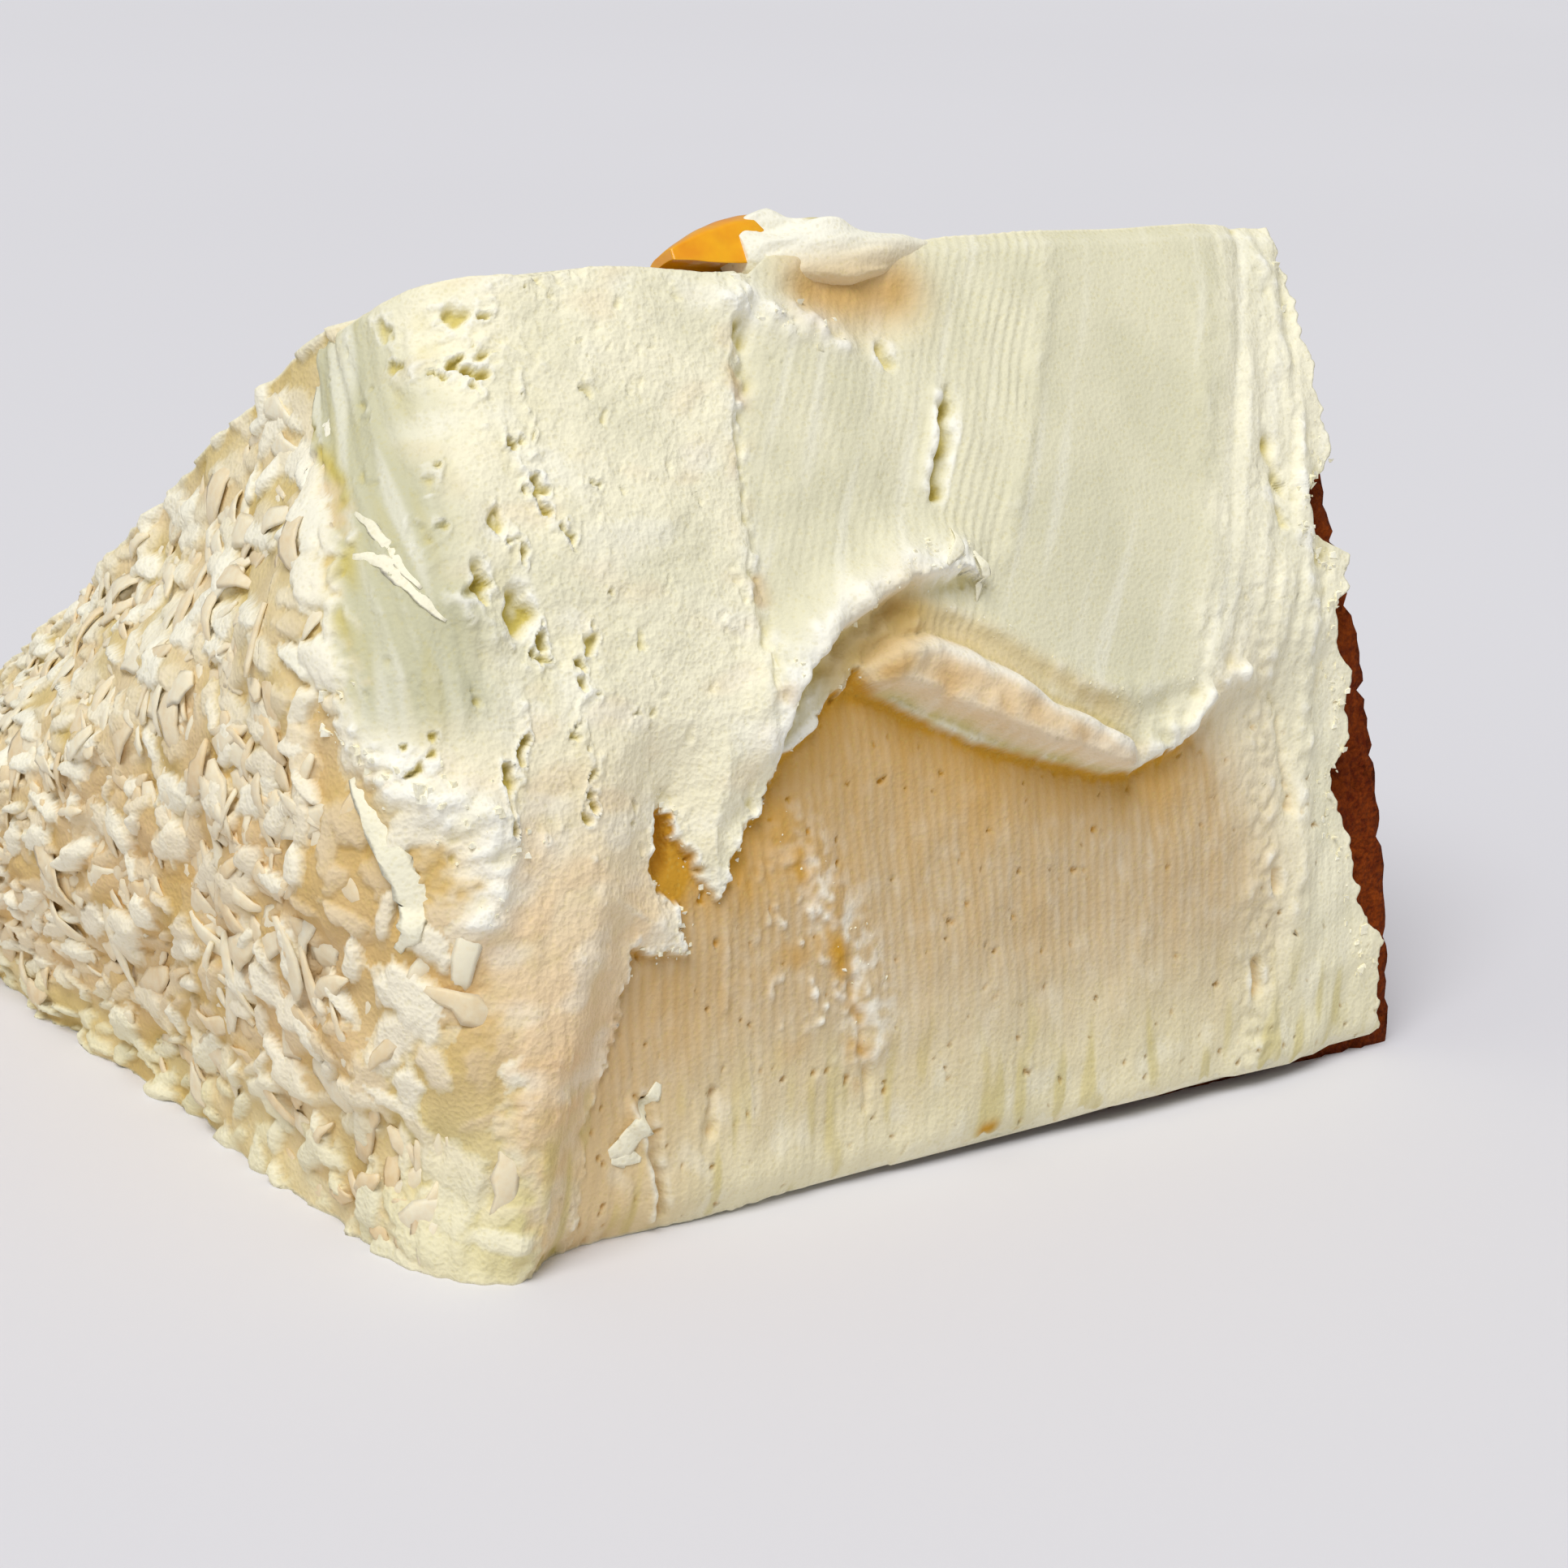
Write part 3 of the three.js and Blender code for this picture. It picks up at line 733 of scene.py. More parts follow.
def frosting_zones(u, s, height):
    """Shares from 0 to 1 of the parts of the wall's frosting that its tints follow, among them the places
    where shade and highlights are painted.
    """
    cover, rough, smear = thick_share(u, s), rough_side(u, s), smeared_left(u, s)
    roll = np.clip(roll_height(u, s) / 3, 0, 1)
    # Painted shadow on the thin coat below the torn edge and the rolled lip.
    beneath = np.exp(torn_distance(u, s) / 6) * ramp(20, 26, s) * (1 - ramp(58, 66, u))
    return SimpleNamespace(
        cover=cover, bare=1 - cover, rough=rough, smear=smear, roll=roll,
        combed=(1 - rough) * cover * (1 - roll),
        whipped=rough * cover * (1 - smear),
        thin=(1 - cover) * (1 - ramp(62, 76, u)) * ramp(-2, 20, s),
        beneath=(1 - cover) * beneath,
        torn_off=torn_patch(u, s) * (1 - cover),
        low_left=(1 - ramp(6, 20, u)) * (1 - ramp(16, 40, s)),
        foot=1 - ramp(5, 15, s),
        band=knife_band(u, s),
        # Painted shade in the furrow behind the roll, and painted golden glow and shade in the corner
        # under the fold.
        valley=roll_valley(u, s),
        tucked=bump_along(TUCK, 2.4, u, s),
        crack=bump_along(CRACK, 1.0, u, s),
        # Painted light from the frosting's height: shade in each crease and hollow, and a highlight on
        # each crest.
        creases=ramp(0.06, 0.5, average(height, 5) - height),
        hollows=ramp(0.3, 1.6, average(average(height, 12), 12) - height),
        crests=ramp(0.05, 0.4, height - average(height, 5)),
    )


def soft_tints(u, s, zone):
    """Greyish on smooth and smeared frosting, peachy at the low left and on the roll, brownish on thin
    frosting; the greyish smear, the peachy roll and low left, and the brownish thin coat are partly
    painted shade.
    """
    # Partly painted shade: greyish on the smeared frosting beside the coconut, where the coat turns away
    # round the shoulder.
    grey = (0.08 * smooth_patch(u, s) + 0.4 * (1 - zone.rough)) * zone.cover
    grey = grey * (1 - zone.roll) * (1 - zone.band) + zone.smear
    # Partly painted shade: peachy on the down-turned face of the roll, in its furrow and at the low left.
    peach = 0.8 * zone.low_left + 0.65 * zone.roll + 0.15 * zone.valley
    peach = peach + 0.2 * zone.whipped * patches(u, s, 0.1, 0.6, 4.5, 75, 0.5)
    # Brownish on the thin coat, partly painted shade that grows up towards the overhanging coat.
    return grey, peach, 0.88 * zone.thin


def white_tint(u, s, zone):
    """Whiter frosting on rims, on crumbs, and in the strokes of the knife and the comb; and painted
    highlights on each crest, on the rolled lip's crest and along the comb's ridges.
    """
    # Painted highlight along the comb's ridges, and pale patches.
    pale = 0.06 * (1 + comb_lines(u, s)) + 0.12 * patches(u, s, 0, 0.7, 1.1, 63, 1.6)
    crumbs = flat_noise(u, s, 0.9, 57) + 0.6 * flat_noise(u, s, 2.4, 66)
    return sum([
        # Painted highlight on each crest.
        0.8 * zone.crests * (1 - 0.6 * zone.roll),
        bump_along(LIMB, 1.6, u, s),
        0.8 * bump_along(WHITE_RIM, 1.5, u, s),
        0.5 * bump_along(LUMP_CLUMPS, 1.6, u, s),
        0.15 * zone.band * zone.cover,
        # Painted highlight along the rolled lip's crest.
        0.85 * zone.roll * np.exp(-(s - between(ROLL_CREST, u) + 0.3) ** 2),
        0.3 * zone.combed * patches(u - STROKE_LEAN * s, s, 0.1, 0.7, 1.6, 70, 9),
        0.4 * zone.smear * patches(u, s, 0.05, 0.6, 1.1, 68, 9),
        0.35 * zone.whipped * patches(u, s, 0.05, 0.6, 3.4, 74, 0.7),
        0.7 * zone.crack * patches(u, s, 0.1, 0.5, 2.3, 77),
        0.35 * zone.foot * patches(u, s, 0.1, 0.6, 2.2, 53, 1.5),
        zone.thin * pale,
        0.5 * zone.torn_off * left_crumbs(u, s),
        0.7 * bump_along(CRUMB_FRINGE, 2.2, u, s) * ramp(-0.3, 0.4, crumbs),
    ])


def olive_tint(u, s, zone):
    """Painted shade, yellowish, in each crease and hollow and in the furrow behind the roll, and painted
    glow and shade in the corner under the fold; and the frosting's own yellowish tone in the smear, on the
    rough coat near the coconut and along the foot.
    """
    # Painted shade in each crease and hollow of the thick coat.
    sunk = 0.7 * zone.creases * mix(0.6, 1, zone.rough) + 0.8 * zone.hollows
    return sum([
        sunk * zone.cover * (1 - zone.valley) * (1 - zone.tucked),
        # Painted glow and shade in the corner under the fold and in the furrow.
        0.45 * zone.tucked + 0.2 * zone.valley,
        0.2 * zone.smear * patches(u, s, 0.1, 0.6, 0.9, 69, 7),
        0.16 * zone.whipped * (1 - ramp(2, 14, u)) * patches(u, s, 0.1, 0.6, 1.7, 76),
        zone.foot * (0.15 + 0.4 * patches(u, s, 0.2, 0.6, 1.3, 54, 5)),
    ])


def amber_tint(u, s, zone):
    """Golden painted shade in the pores, crease and hollow places of the thin coat, under the torn edge
    and the roll, in its furrow and on its down-turned face, under the lump, in the tear hole, in the crack
    and beside the torn-off crumbs; painted glow in the corner under the fold; and the frosting's own
    golden stains on the thin coat and one speck.
    """
    crest, lip = between(ROLL_CREST, u), between(ROLL_FOOT, u)
    face = np.exp(-(((crest - s) / (crest - lip) - 0.5) / 0.25) ** 2)
    stains = 1 - ramp(16, 40, u) + patches(u, s, -0.2, 0.7, 2.6, 64, 4)
    return sum([
        # Painted shade in the pores, crease and hollow places of the thin coat.
        (0.3 * zone.creases + 0.25 * zone.hollows + 0.5 * small_pores(u, s)) * zone.bare,
        # Painted shadow below the torn edge and the roll, and painted shade in its furrow, on the roll and
        # low at the left.
        0.7 * zone.beneath + 0.2 * zone.valley + 0.12 * zone.roll + 0.05 * zone.low_left,
        0.16 * zone.thin * stains,
        # Painted shade on the roll's down-turned face.
        0.4 * zone.roll * face * patches(u, s, -0.4, 0.5, 3, 81),
        # Painted shade inside the crack.
        0.4 * zone.crack * patches(u, s, 0.0, 0.4, 3.1, 78),
        # Painted glow in the corner under the fold.
        0.45 * zone.tucked,
        # Painted shadow under the lump.
        0.75 * bump_along(UNDER_LUMP, 2.7, u, s),
        bump_along(AMBER_SPECK, 0.6, u, s),
        # Painted shade in the tear hole.
        1.3 * bump_along(TEAR_HOLE, 1.6, u, s) * zone.bare,
        # Painted shade beside the torn-off crumbs.
        0.6 * zone.torn_off * patches(u, s, 0.0, 0.5, 2.6, 80, 1.6),
        0.5 * bump_along(FRINGE_SHADE, 0.9, u, s) * patches(u, s, -0.3, 0.3, 2, 58),
    ])


def wall_colours(u, s, height):
    """How greyish, peachy, brownish, whiter, yellowish and golden each place of the wall's frosting is,
    with painted shade and highlights carried in these tints.
    """
    zone = frosting_zones(u, s, height)
    open_tints = [
        *soft_tints(u, s, zone), white_tint(u, s, zone), olive_tint(u, s, zone), amber_tint(u, s, zone),
    ]
    bed, bed_tints = under_coconut(u, s), coconut_bed_colours(u, s)
    grey, peach, tan, white, olive, amber = (mix(a, b, bed) for a, b in zip(open_tints, bed_tints))
    # Painted shade in the crevice along the coconut's edge: more of the yellowish tint, less of the whiter
    # one.
    border = np.exp(-((u - between(COCONUT_EDGE, s) - 0.5) / 0.9) ** 2) * ramp(40, 48, s)
    border = border * patches(u, s, -0.2, 0.3, 2.5, 47)
    tints = grey, peach, tan, white * (1 - border), olive + 0.9 * border, amber
    return [np.clip(tint, 0, 1) for tint in tints]


def whipped_frosting():
    material, tree, shader = new_material("whipped frosting")
    crumb = place_group(tree, OPEN_CRUMB, Pore_Size=0.38)
    mottle = rescale(tree, grain(tree, 7, 1.0), 0.42, 0.68, 0.0, 0.3)
    cream = blend(tree, mottle, paint(CREAM), paint(FROSTING_TINTS["grey"]))
    for title, colour in FROSTING_TINTS.items():
        cream = blend(tree, number_at_points(tree, title), cream, paint(colour))
    # Painted shade in the crumb's pores, in the yellowish crease colour.
    speckle = rescale(tree, crumb.outputs["Depth"], 0.3, 1.0, 0.0, 0.16)
    colour = blend(tree, speckle, cream, paint(FROSTING_TINTS["olive"]))
    strength = rescale(tree, number_at_points(tree, "grainy"), 0.0, 1.0, 0.28, 0.42)
    bump = add(tree, "Bump", Strength=strength, Distance=0.18 * MM, Height=crumb.outputs["Height"])
    plug(tree, shader, Base_Color=colour, Roughness=0.75, Specular_IOR_Level=0.15, Normal=bump.outputs[0])
    return material


def padded(field, count):
    """Numbers of the outer points first, and nothing at the hidden points after them."""
    return np.concatenate([np.ravel(field), np.zeros(count - np.size(field))])


def coat_piece(name, outer, inner, tints, grainy, flat_ends):
    points, faces, flat = closed_coat(outer, inner, flat_ends)
    plain_cut = np.ones(outer.shape[1])
    plain_cut[[0, -1]] = 0
    tints = [tint * plain_cut for tint in tints]
    numbers = dict(zip(FROSTING_TINTS, tints), grainy=grainy)
    padded_numbers = {title: padded(number, len(points)) for title, number in numbers.items()}
    piece = make_piece(name, points, faces, FROSTING, **padded_numbers)
    piece.data.polygons.foreach_set("use_smooth", ~flat)
    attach(piece, "root")
    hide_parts("frosting")
    return piece


FROSTING = whipped_frosting()
wall_rows = np.linspace(0, 1, WALL_ROWS + 1)[None, :]
wall_ragged = 0.7 * flat_noise(0 * wall_rows, wall_rows * ARC, 2.2, 41)
wall_ragged = wall_ragged + 0.5 * flat_noise(0 * wall_rows, wall_rows * ARC, 0.9, 42)
wall_lines = [
    top_reach(wall_rows) - 1.0,
    between(SEAM, wall_rows * ARC),
    between(FROSTING_END, wall_rows * ARC) + wall_ragged,
]
wall_parts = zip(("torn_frosting", "combed_frosting"), wall_lines, wall_lines[1:], (WALL_COLUMNS, -1))
for wall_name, wall_left, wall_right, wall_seam in wall_parts:
    wall_u, wall_s, wall_height, wall_outer, wall_inner = wall_coat(wall_left, wall_right, wall_rows)
    wall_rough = rough_side(wall_u, wall_s) * thick_share(wall_u, wall_s)
    wall_grainy = wall_rough * (1 - smeared_left(wall_u, wall_s))
    wall_tints = wall_colours(wall_u, wall_s, wall_height)
    wall_piece = coat_piece(wall_name, wall_outer, wall_inner, wall_tints, wall_grainy, [wall_seam])
    wall_normals = np.zeros((len(wall_piece.data.vertices), 3))
    seam_start = max(wall_seam, 0) * (WALL_ROWS + 1)
    wall_normals[seam_start:seam_start + WALL_ROWS + 1] = seam_normals(wall_lines[1], wall_rows)[0]
    wall_piece.data.normals_split_custom_set_from_vertices(wall_normals.tolist())

# The frosting on the cake's top: a thick bed of the same frosting that holds the coconut, spread by
# hand, so that it swells and dips. It runs from the shoulder of the wall to the slice's point.
TOP_COLUMNS, TOP_ROWS = 300, 200

top_share = np.linspace(0, 1, TOP_ROWS + 1)[None, :]
top_across = np.linspace(0, 1, TOP_COLUMNS + 1)[:, None]
top_start = top_reach(top_share)
top_u = mix(top_start - (WALL_RADIUS - SHOULDER - BLUNT_TIP), top_start + 2.0, top_across)
top_s = np.broadcast_to(top_share * ARC, top_u.shape)
top_outer = coat_point(top_u, top_share, bed_height(top_u, top_s) * ramp(0, 0.12, top_across))
top_inner = slice_point(TOP_FROSTING - 0.1, np.array([[BLUNT_TIP], [CORE_RADIUS]]), top_share)
top_tints = coconut_bed_colours(top_u, top_s)
coat_piece("top_frosting", top_outer, top_inner, top_tints, np.ones(top_u.shape), [-1])

# The lump of frosting at the upper edge: a soft dab that the knife dragged along the edge of the cut.
# It starts blunt beside the fruit, hangs over the wall as a lip, and runs out into a thin tail.
LUMP_START, LUMP_BEHIND, LUMP_LIP = 29.6, 3.5, 2.2
# How far it rises off the cut, hangs down and stands out of the wall, along its length
LUMP_RISE = [
    (0, 2.5), (1.5, 3.1), (3.4, 3.4), (6.5, 2.9), (10, 1.8), (13, 1.0), (16.4, 0.5), (18.5, 0.15),
]
LUMP_DROOP = [(0, 1.2), (1.5, 2.0), (4, 2.7), (8, 3.2), (11, 2.7), (14, 1.7), (18.5, 0.2)]
LUMP_FRONT = [(0, 1.4), (1.5, 2.0), (4, 2.4), (8, 2.4), (11, 2.2), (14, 1.7), (18.5, 0.5)]
LUMP_SPOT = (36.2, 2.2)
OFF_CUT = np.array([0, math.sin(SLICE_ANGLE), math.cos(SLICE_ANGLE)])


def top_edge_point(x, out, off):
    """A place from the upper front edge: along it, out of the wall, and off the sloping cut."""
    return slice_point(x, WALL_RADIUS + out, 1.0) + np.asarray(off)[..., None] * OFF_CUT


def frosting_lump():
    shares, faces = block_grid((110, 52, 46))
    along = shares[:, 0] * LUMP_RISE[-1][0]
    back, up = 2 * shares[:, 1] - 1, 2 * shares[:, 2] - 1
    back, up = back * np.sqrt(1 - up ** 2 / 2), up * np.sqrt(1 - back ** 2 / 2)
    front = between(LUMP_FRONT, along)
    behind = LUMP_BEHIND * front / LUMP_FRONT[3][1]
    off = mix(-between(LUMP_DROOP, along), between(LUMP_RISE, along), (up + 1) / 2)
    out = mix(front, -behind, (back + 1) / 2) + LUMP_LIP * ramp(0.5, -4, off)
    points = top_edge_point(LUMP_START + along, out, off)
    wave = 0.5 * noise(points * (0.25, 1, 1), 1.7, 51) + 0.25 * noise(points * (0.3, 1, 1), 0.8, 52)
    wave = wave + 0.7 * noise(points * (0.7, 1, 1), 3.2, 59) * ramp(0.2, 2, along)
    spot = np.hypot(LUMP_START + along - LUMP_SPOT[0], (off - LUMP_SPOT[1]) * 1.6)
    # Painted shade on the lump's underside, golden, and painted light on its top, whiter.
    shade = 0.75 * ramp(0.3, -2.8, off) * ramp(0, 3, along)
    return points + wave[:, None] * (0, -0.7, 0.7), faces, shade, (1 - ramp(0.3, 1.1, spot))


lump_points, lump_faces, lump_shade, lump_spot = frosting_lump()
# The lump carries painted shade below and a painted highlight on top.
lump_piece = make_piece(
    "frosting_lump", lump_points, lump_faces, FROSTING,
    white=0.7 * (1 - lump_shade), amber=0.6 * lump_shade, olive=0.7 * lump_spot,
)
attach(lump_piece, "root")
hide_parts("frosting")

# Crumbs and strings of frosting: bits that the knife and the tear pulled out of the coat. They cling to
# its torn edges, to the rolled lip and to the end beside the browned bottom.
CRUMB_LINES = [
    # Path, how many, how far they stray from it, and their least and most size
    (TORN_EDGE[6:27], 80, 0.35, (0.2, 0.8)),
    (ROLL_MARGIN, 30, 0.5, (0.2, 0.6)),
    (LIMB, 24, 0.7, (0.2, 0.8)),
    ([(u - 1.3, s) for s, u in FROSTING_END[1:]], 150, 0.5, (0.3, 1.2)),
    (WHITE_RIM, 60, 1.2, (0.3, 1.4)),
    (CRUMB_FRINGE, 20, 1.1, (0.2, 0.6)),
    (LUMP_CLUMPS, 24, 0.8, (0.3, 1.4)),
    ([(14, 20.6), (15, 21.8)], 16, 0.5, (0.3, 0.9)),
    ([(34, 43.8), (38, 44.4), (42, 43.6)], 24, 0.7, (0.2, 0.9)),
]
STRINGS = [
    # Path, half width, and how far its middle stands off the frosting
    ([(-4.9, 49.4), (-4.1, 49.1), (-3.3, 48.5), (-2.6, 47.2), (-2, 45.4), (-1.2, 43.9)], 0.55, 0.0),
    ([(-4, 52.4), (-3.3, 51.3), (-2.8, 49.6), (-2.4, 47.8), (-1.9, 46.2)], 0.45, 0.0),
    ([(8.2, 6.9), (9.4, 7.2), (10.6, 8.6), (11.6, 9.6), (12.6, 11)], 1.0, 0.25),
    ([(8.4, 6.4), (9.6, 6.4), (10.8, 6)], 0.7, 0.1),
    ([(-7.8, 34.9), (-6.2, 30.5), (-4.6, 26.4), (-5, 24.4), (-6, 23.2)], 1.1, 0.3),
    ([(41.2, 44.2), (41.8, 42.6), (41.6, 40.8)], 0.4, 0.6),
    ([(38.2, 43.4), (39.4, 44.6), (40, 46)], 0.5, 0.4),
]
STRING_STATIONS, STRING_CORNERS = 21, 8


def tube_faces(stations, corners, count):
    """Faces of closed tubes whose points follow one another."""
    ring = np.arange(stations * corners).reshape(stations, corners)
    sides = grid_faces(np.column_stack([ring, ring[:, :1]]))
    starts = stations * corners * np.arange(count)
    caps = [(end + start).tolist() for start in starts for end in (ring[0], ring[-1][::-1])]
    return (sides[None] + starts[:, None, None]).reshape(-1, 4).tolist() + caps


def on_path(path, share):
    """Places along a path of points, at shares of it from 0 to 1."""
    return [np.interp(share * (len(path) - 1), np.arange(len(path)), axis) for axis in zip(*path)]


def ribbon(path, width, lift):
    """A thin strip that follows a path over the frosting, slimmer at its ends."""
    share = np.linspace(0, 1, STRING_STATIONS)
    u, s = on_path(path, share)
    height = coat_height(u, s) + 0.02 + lift * np.sin(math.pi * share)
    middle = coat_point(u, s / ARC, height)
    ahead = unit(np.gradient(middle, axis=0))
    out = unit(coat_point(u, s / ARC, height + 1) - middle)
    turn = np.linspace(0, 2 * math.pi, STRING_CORNERS, endpoint=False)[None, :, None]
    torn = 1 + 0.5 * noise(middle[:, None] + 3 * np.cos(turn), 1.1, 60)
    slim = (width * np.sin(math.pi * mix(0.12, 0.9, share)))[:, None, None] * torn[..., None]
    aside = np.cross(ahead, out)[:, None] * np.cos(turn)
    return middle[:, None] + slim * (aside + 0.14 * out[:, None] * np.sin(turn))


def crumb_bits(random, ball, path, count, spread, sizes):
    """Small uneven lumps scattered along a path."""
    u, s = on_path(path, random.uniform(0, 1, count))
    u = u + random.normal(0, spread, count)
    s = np.clip(s + random.normal(0, spread, count), FOOT_LIFT, ARC - 2.5)
    size = mix(*sizes, random.uniform(0, 1, (count, 1, 1)) ** 2)
    middle = coat_point(u, s / ARC, coat_height(u, s) - 0.08 * size[:, 0, 0])
    uneven = random.uniform(0.4, 1.5, (count, len(ball), 1)) * random.uniform(0.4, 1, (count, 1, 3))
    return middle[:, None] + 0.5 * size * ball * uneven


crumb_draw = np.random.default_rng(51)
crumb_shares, crumb_faces = block_grid((1, 1, 1))
crumb_ball = unit(2 * crumb_shares - 1)
crumb_points = np.concatenate([crumb_bits(crumb_draw, crumb_ball, *line) for line in CRUMB_LINES])
crumb_starts = len(crumb_ball) * np.arange(len(crumb_points))
crumb_piece = make_piece(
    "frosting_crumbs", crumb_points.reshape(-1, 3),
    (crumb_faces[None] + crumb_starts[:, None, None]).reshape(-1, 4).tolist(), FROSTING,
    white=np.repeat(crumb_draw.uniform(0, 0.6, len(crumb_points)), len(crumb_ball)),
)
crumb_piece.data.shade_flat()
string_points = np.concatenate([ribbon(*string).reshape(-1, 3) for string in STRINGS])
string_faces = tube_faces(STRING_STATIONS, STRING_CORNERS, len(STRINGS))
string_white = np.full(len(string_points), 0.2)
string_piece = make_piece("frosting_strings", string_points, string_faces, FROSTING, white=string_white)
for bits in (crumb_piece, string_piece):
    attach(bits, "root")
    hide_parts("frosting")

# The coconut: moist flakes pressed into the top frosting, thin, curled and torn at their edges. They
# cover the whole top and a ragged strip round the shoulder, and lie sparse low on it.
FLAKE_STATIONS, FLAKE_CORNERS = 7, 6
# Kinds of flake: how many, and the least and most length, width and thickness
FLAKE_KINDS = [
    (560, (2.5, 5.5), (0.7, 1.6), (0.2, 0.32)),
    (280, (4.0, 8.0), (1.3, 2.6), (0.22, 0.36)),
]
COCONUT_WHITE = (247, 238, 210)
COCONUT_BLUSH = (232, 205, 160)


def flake_shapes(random, count, *spans):
    """Curled strips with torn edges about their own middle, with their length along the first axis."""
    station = np.linspace(-1, 1, FLAKE_STATIONS)[None, :, None]
    length, width, thick = (random.uniform(*span, (count, 1, 1)) for span in spans)
    curl = random.uniform(-0.22, 0.02, (count, 1, 1)) * length
    bow = random.uniform(-0.1, 0.1, (count, 1, 1)) * length
    twist = random.normal(0, 0.35, (count, 1, 1)) * station
    taper = 1.05 - random.uniform(0.5, 0.85, (count, 1, 1)) * station ** 2
    torn = random.uniform(0.7, 1.3, (count, FLAKE_STATIONS, 2))[..., [0, 0, 1, 1, 1, 0]]
    side = np.array([-0.5, -0.3, 0.3, 0.5, 0.3, -0.3]) * width * taper * torn
    rise = np.array([0, -0.5, -0.5, 0, 0.5, 0.5]) * thick
    ahead = np.broadcast_to(station * length / 2, side.shape)
    across = side * np.cos(twist) - rise * np.sin(twist) + bow * station ** 2
    out = side * np.sin(twist) + rise * np.cos(twist) + curl * (station ** 2 - 0.3)
    return np.stack([ahead, across, out], -1)


def flake_places(random, count):
    """Where the flakes lie, from the coconut's edge to the point, with fewer low on the shoulder."""
    s = random.uniform(0.005, 0.97, count) * ARC
    edge = between(COCONUT_EDGE, s)
    far = top_reach(s / ARC) - (WALL_RADIUS - SHOULDER - BLUNT_TIP)
    stray = random.uniform(-1.2, 1.0, count)
    u = edge - stray - (1 - np.sqrt(random.uniform(0, 1, count))) * (edge - far)
    dense = mix(0.3, 1, ramp(3, 14, edge - u)) * mix(0.5, 1, ramp(8, 24, s))
    kept = random.uniform(0, 1, count) < dense
    return u[kept], s[kept]


def laid_flakes(random, count, *spans):
    """Flakes turned every way and half sunk in the frosting, and the tone of each."""
    u, s = flake_places(random, count)
    count, share = len(u), s / ARC
    lift = coat_height(u, s) + random.uniform(-0.6, -0.05, count)
    place = coat_point(u, share, lift)
    ahead = unit(coat_point(u + 0.5, share, lift) - place)
    upward = unit(coat_point(u, share + 0.01, lift) - place)
    out = unit(np.cross(ahead, upward) + random.normal(0, 0.08, (count, 3)))
    turn = random.uniform(0, 2 * math.pi, count)[:, None]
    heading = unit(ahead * np.cos(turn) + upward * np.sin(turn))
    side = unit(np.cross(out, heading))
    axes = np.stack([heading, side, np.cross(heading, side)], 1)
    low = (1 - ramp(28, 50, s)) * ramp(0, 6, between(COCONUT_EDGE, s) - u)
    tone = 0.75 * random.uniform(0, 1, count) + 0.2 * low
    shapes = flake_shapes(random, count, *spans) @ axes[:, None]
    return kept_inside(place[:, None, None] + shapes), tone


def kept_inside(points):
    """Flakes moved up off the floor, and back down off the sloping cut."""
    sunk = np.minimum(points[..., 2].min((1, 2)), 0.05) - 0.05
    points[..., 2] -= sunk[:, None, None]
    over = np.maximum(((points - (0, WALL_RADIUS, 0)) @ OFF_CUT).max((1, 2)) - 0.4, 0)
    return points - over[:, None, None, None] * OFF_CUT


def moist_coconut():
    material, tree, shader = new_material("moist coconut")
    fibre = rescale(tree, grain(tree, 0.8, 2.0), 0.3, 0.7, -0.2, 0.2)
    tone = node_sum(tree, number_at_points(tree, "tone"), fibre)
    colour = blend(tree, tone, paint(COCONUT_WHITE), paint(COCONUT_BLUSH))
    bump = add(tree, "Bump", Strength=0.2, Distance=0.2 * MM, Height=grain(tree, 0.5, 2.0))
    plug(tree, shader, Base_Color=colour, Roughness=0.5, Specular_IOR_Level=0.2, Normal=bump.outputs[0])
    plug(tree, shader, Subsurface_Weight=0.12, Subsurface_Radius=(1.0, 0.8, 0.5), Subsurface_Scale=MM)
    return material


flake_draw = np.random.default_rng(434)
flake_sets, flake_tones = zip(*[laid_flakes(flake_draw, *kind) for kind in FLAKE_KINDS])
flake_points = np.concatenate(flake_sets)
flake_faces = tube_faces(FLAKE_STATIONS, FLAKE_CORNERS, len(flake_points))
flake_tone = np.repeat(np.concatenate(flake_tones), FLAKE_STATIONS * FLAKE_CORNERS)
flake_piece = make_piece(
    "coconut_flakes", flake_points.reshape(-1, 3), flake_faces, moist_coconut(), tone=flake_tone,
)
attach(flake_piece, "root")
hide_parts("frosting")

# The fruit: one sliver of candied fruit that lies on the cut at the upper edge, wet with syrup, thin
# at its free end and held by the lump of frosting at the other.
FRUIT_START, FRUIT_LENGTH = 24.0, 9.2
FRUIT_BEHIND, FRUIT_FRONT, FRUIT_RISE = 5.0, 1.3, 3.3
FRUIT_GAP, FRUIT_DROOP = 0.3, 1.3
FRUIT_AMBER = (250, 180, 6)
FRUIT_DEEP = (238, 154, 2)


def fruit_sliver():
    shares, faces = block_grid((44, 30, 20))
    along, back, up = shares.T
    full = np.sin(math.pi * mix(0.06, 0.55, along)) ** 0.9
    round_off = np.sqrt(1 - 0.6 * np.abs(2 * back - 1) ** 3)
    out = mix(FRUIT_FRONT, -FRUIT_BEHIND, back) * mix(0.35, 1, full)
    low = FRUIT_GAP - FRUIT_DROOP * full * (1 - back) ** 4
    off = mix(low, FRUIT_RISE * full * round_off + FRUIT_GAP, up)
    points = top_edge_point(FRUIT_START + FRUIT_LENGTH * along, out, off)
    return points + 0.12 * noise(points, 1.8, 61)[:, None] * (0, -0.6, 0.8), faces


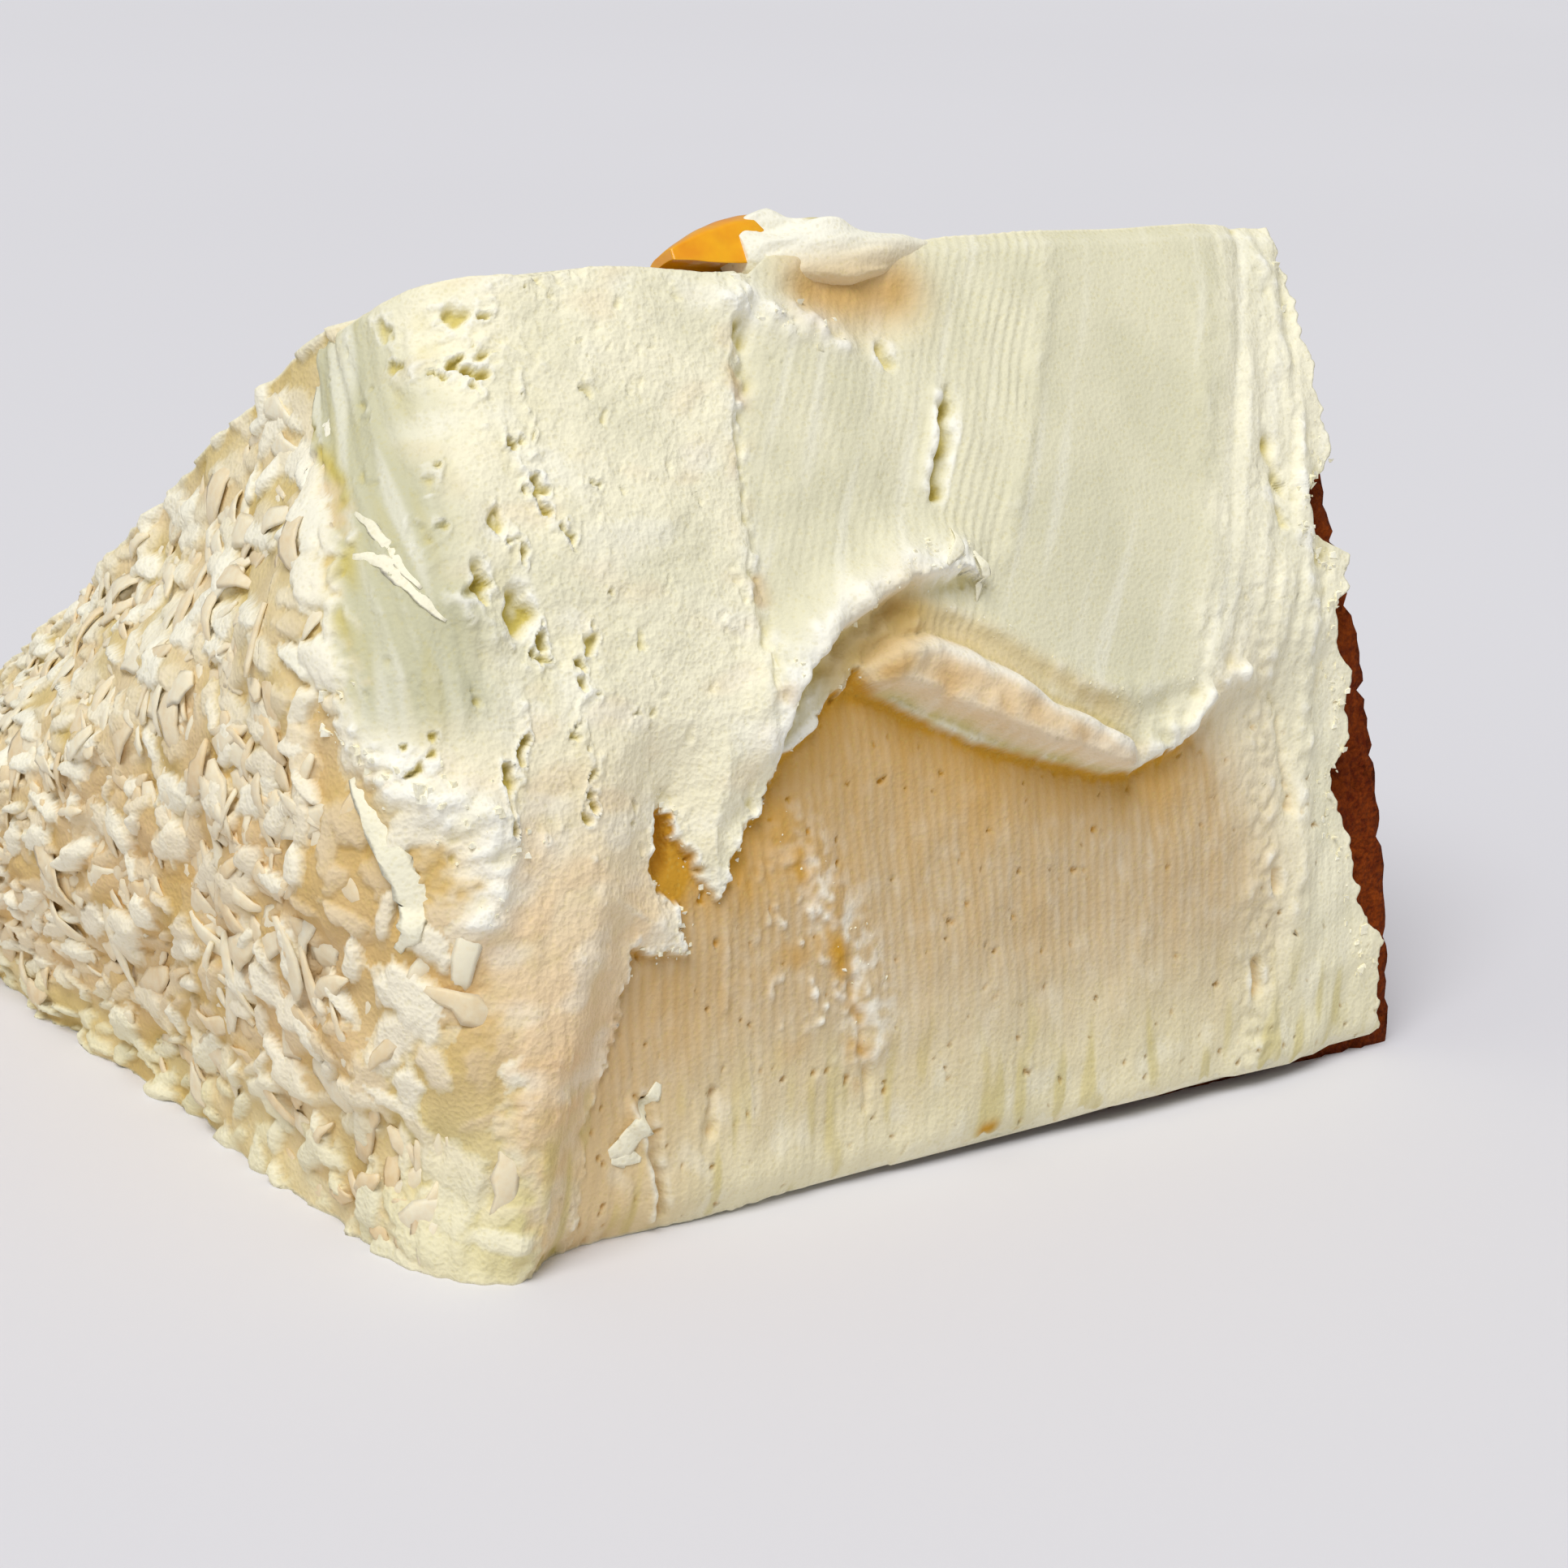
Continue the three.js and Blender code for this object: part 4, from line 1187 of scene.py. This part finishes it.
def candied_fruit():
    material, tree, shader = new_material("candied fruit")
    depth = rescale(tree, grain(tree, 2.5, 3.0), 0.35, 0.65)
    colour = blend(tree, depth, paint(FRUIT_AMBER), paint(FRUIT_DEEP))
    plug(tree, shader, Base_Color=colour, Roughness=0.3, Coat_Weight=0.25, Coat_Roughness=0.15)
    plug(tree, shader, Subsurface_Weight=0.2, Subsurface_Radius=(1.0, 0.6, 0.1), Subsurface_Scale=MM)
    return material


fruit_points, fruit_faces = fruit_sliver()
fruit_piece = make_piece("candied_fruit", fruit_points, fruit_faces, candied_fruit())
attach(fruit_piece, "root")
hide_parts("fruit_piece")

# The studio: a pale floor that fills the view, soft light from above and a little from the left,
# and the camera close to the slice, low, and turned towards the frosted wall.
FLOOR_SIZE = 6.0
FLOOR_GREY = (227, 226, 231)
CAMERA_AZIMUTH, CAMERA_ELEVATION, CAMERA_ROLL = -0.63083, 0.28108, 0.03906
CAMERA_DISTANCE = 228.72
CAMERA_AIM = (13.834, -10.582, 34.970)
CAMERA_LENS = 81.99


def studio_floor():
    material, tree, shader = new_material("studio floor")
    shade = rescale(tree, grain(tree, 400, 2.0), 0.3, 0.7)
    darker = tuple(c - 2 for c in FLOOR_GREY)
    plug(tree, shader, Base_Color=blend(tree, shade, paint(FLOOR_GREY), paint(darker)), Roughness=0.7)
    half = FLOOR_SIZE / 2
    mesh = bpy.data.meshes.new("floor")
    corners = [(-half, -half, 0), (half, -half, 0), (half, half, 0), (-half, half, 0)]
    mesh.from_pydata(corners, [], [(0, 1, 2, 3)])
    mesh.materials.append(material)
    floor = bpy.data.objects.new("floor", mesh)
    bpy.context.scene.collection.objects.link(floor)


def soft_sun(direction, spread, strength):
    """Even soft light from one side, as from a wide window far off."""
    light = bpy.data.lights.new("soft light", "SUN")
    light.angle = math.radians(spread)
    light.energy = strength
    lamp = bpy.data.objects.new("soft light", light)
    lamp.rotation_euler = Vector(direction).to_track_quat("Z", "Y").to_euler()
    bpy.context.scene.collection.objects.link(lamp)


def pale_surroundings(strength):
    world = bpy.data.worlds.new("pale surroundings")
    world.use_nodes = True
    background = world.node_tree.nodes["Background"]
    background.inputs["Color"].default_value = (1.0, 1.0, 1.0, 1.0)
    background.inputs["Strength"].default_value = strength
    bpy.context.scene.world = world


def photo_camera():
    lens = bpy.data.cameras.new("camera")
    lens.lens = CAMERA_LENS
    lens.sensor_width = 36.0
    lens.clip_start = 0.01
    camera = bpy.data.objects.new("camera", lens)
    turned = (Matrix.Rotation(CAMERA_AZIMUTH, 4, "Z")
              @ Matrix.Rotation(math.pi / 2 - CAMERA_ELEVATION, 4, "X")
              @ Matrix.Rotation(CAMERA_ROLL, 4, "Z"))
    aim = Vector((np.array(CAMERA_AIM) + ORIGIN) * MM)
    back = turned @ Vector((0, 0, CAMERA_DISTANCE * MM))
    camera.matrix_world = Matrix.Translation(aim + back) @ turned
    bpy.context.scene.collection.objects.link(camera)
    bpy.context.scene.camera = camera


studio_floor()
soft_sun((-0.42, -0.32, 0.85), 35.0, 2.25)
pale_surroundings(0.36)
bpy.context.scene.view_settings.view_transform = "Standard"
photo_camera()
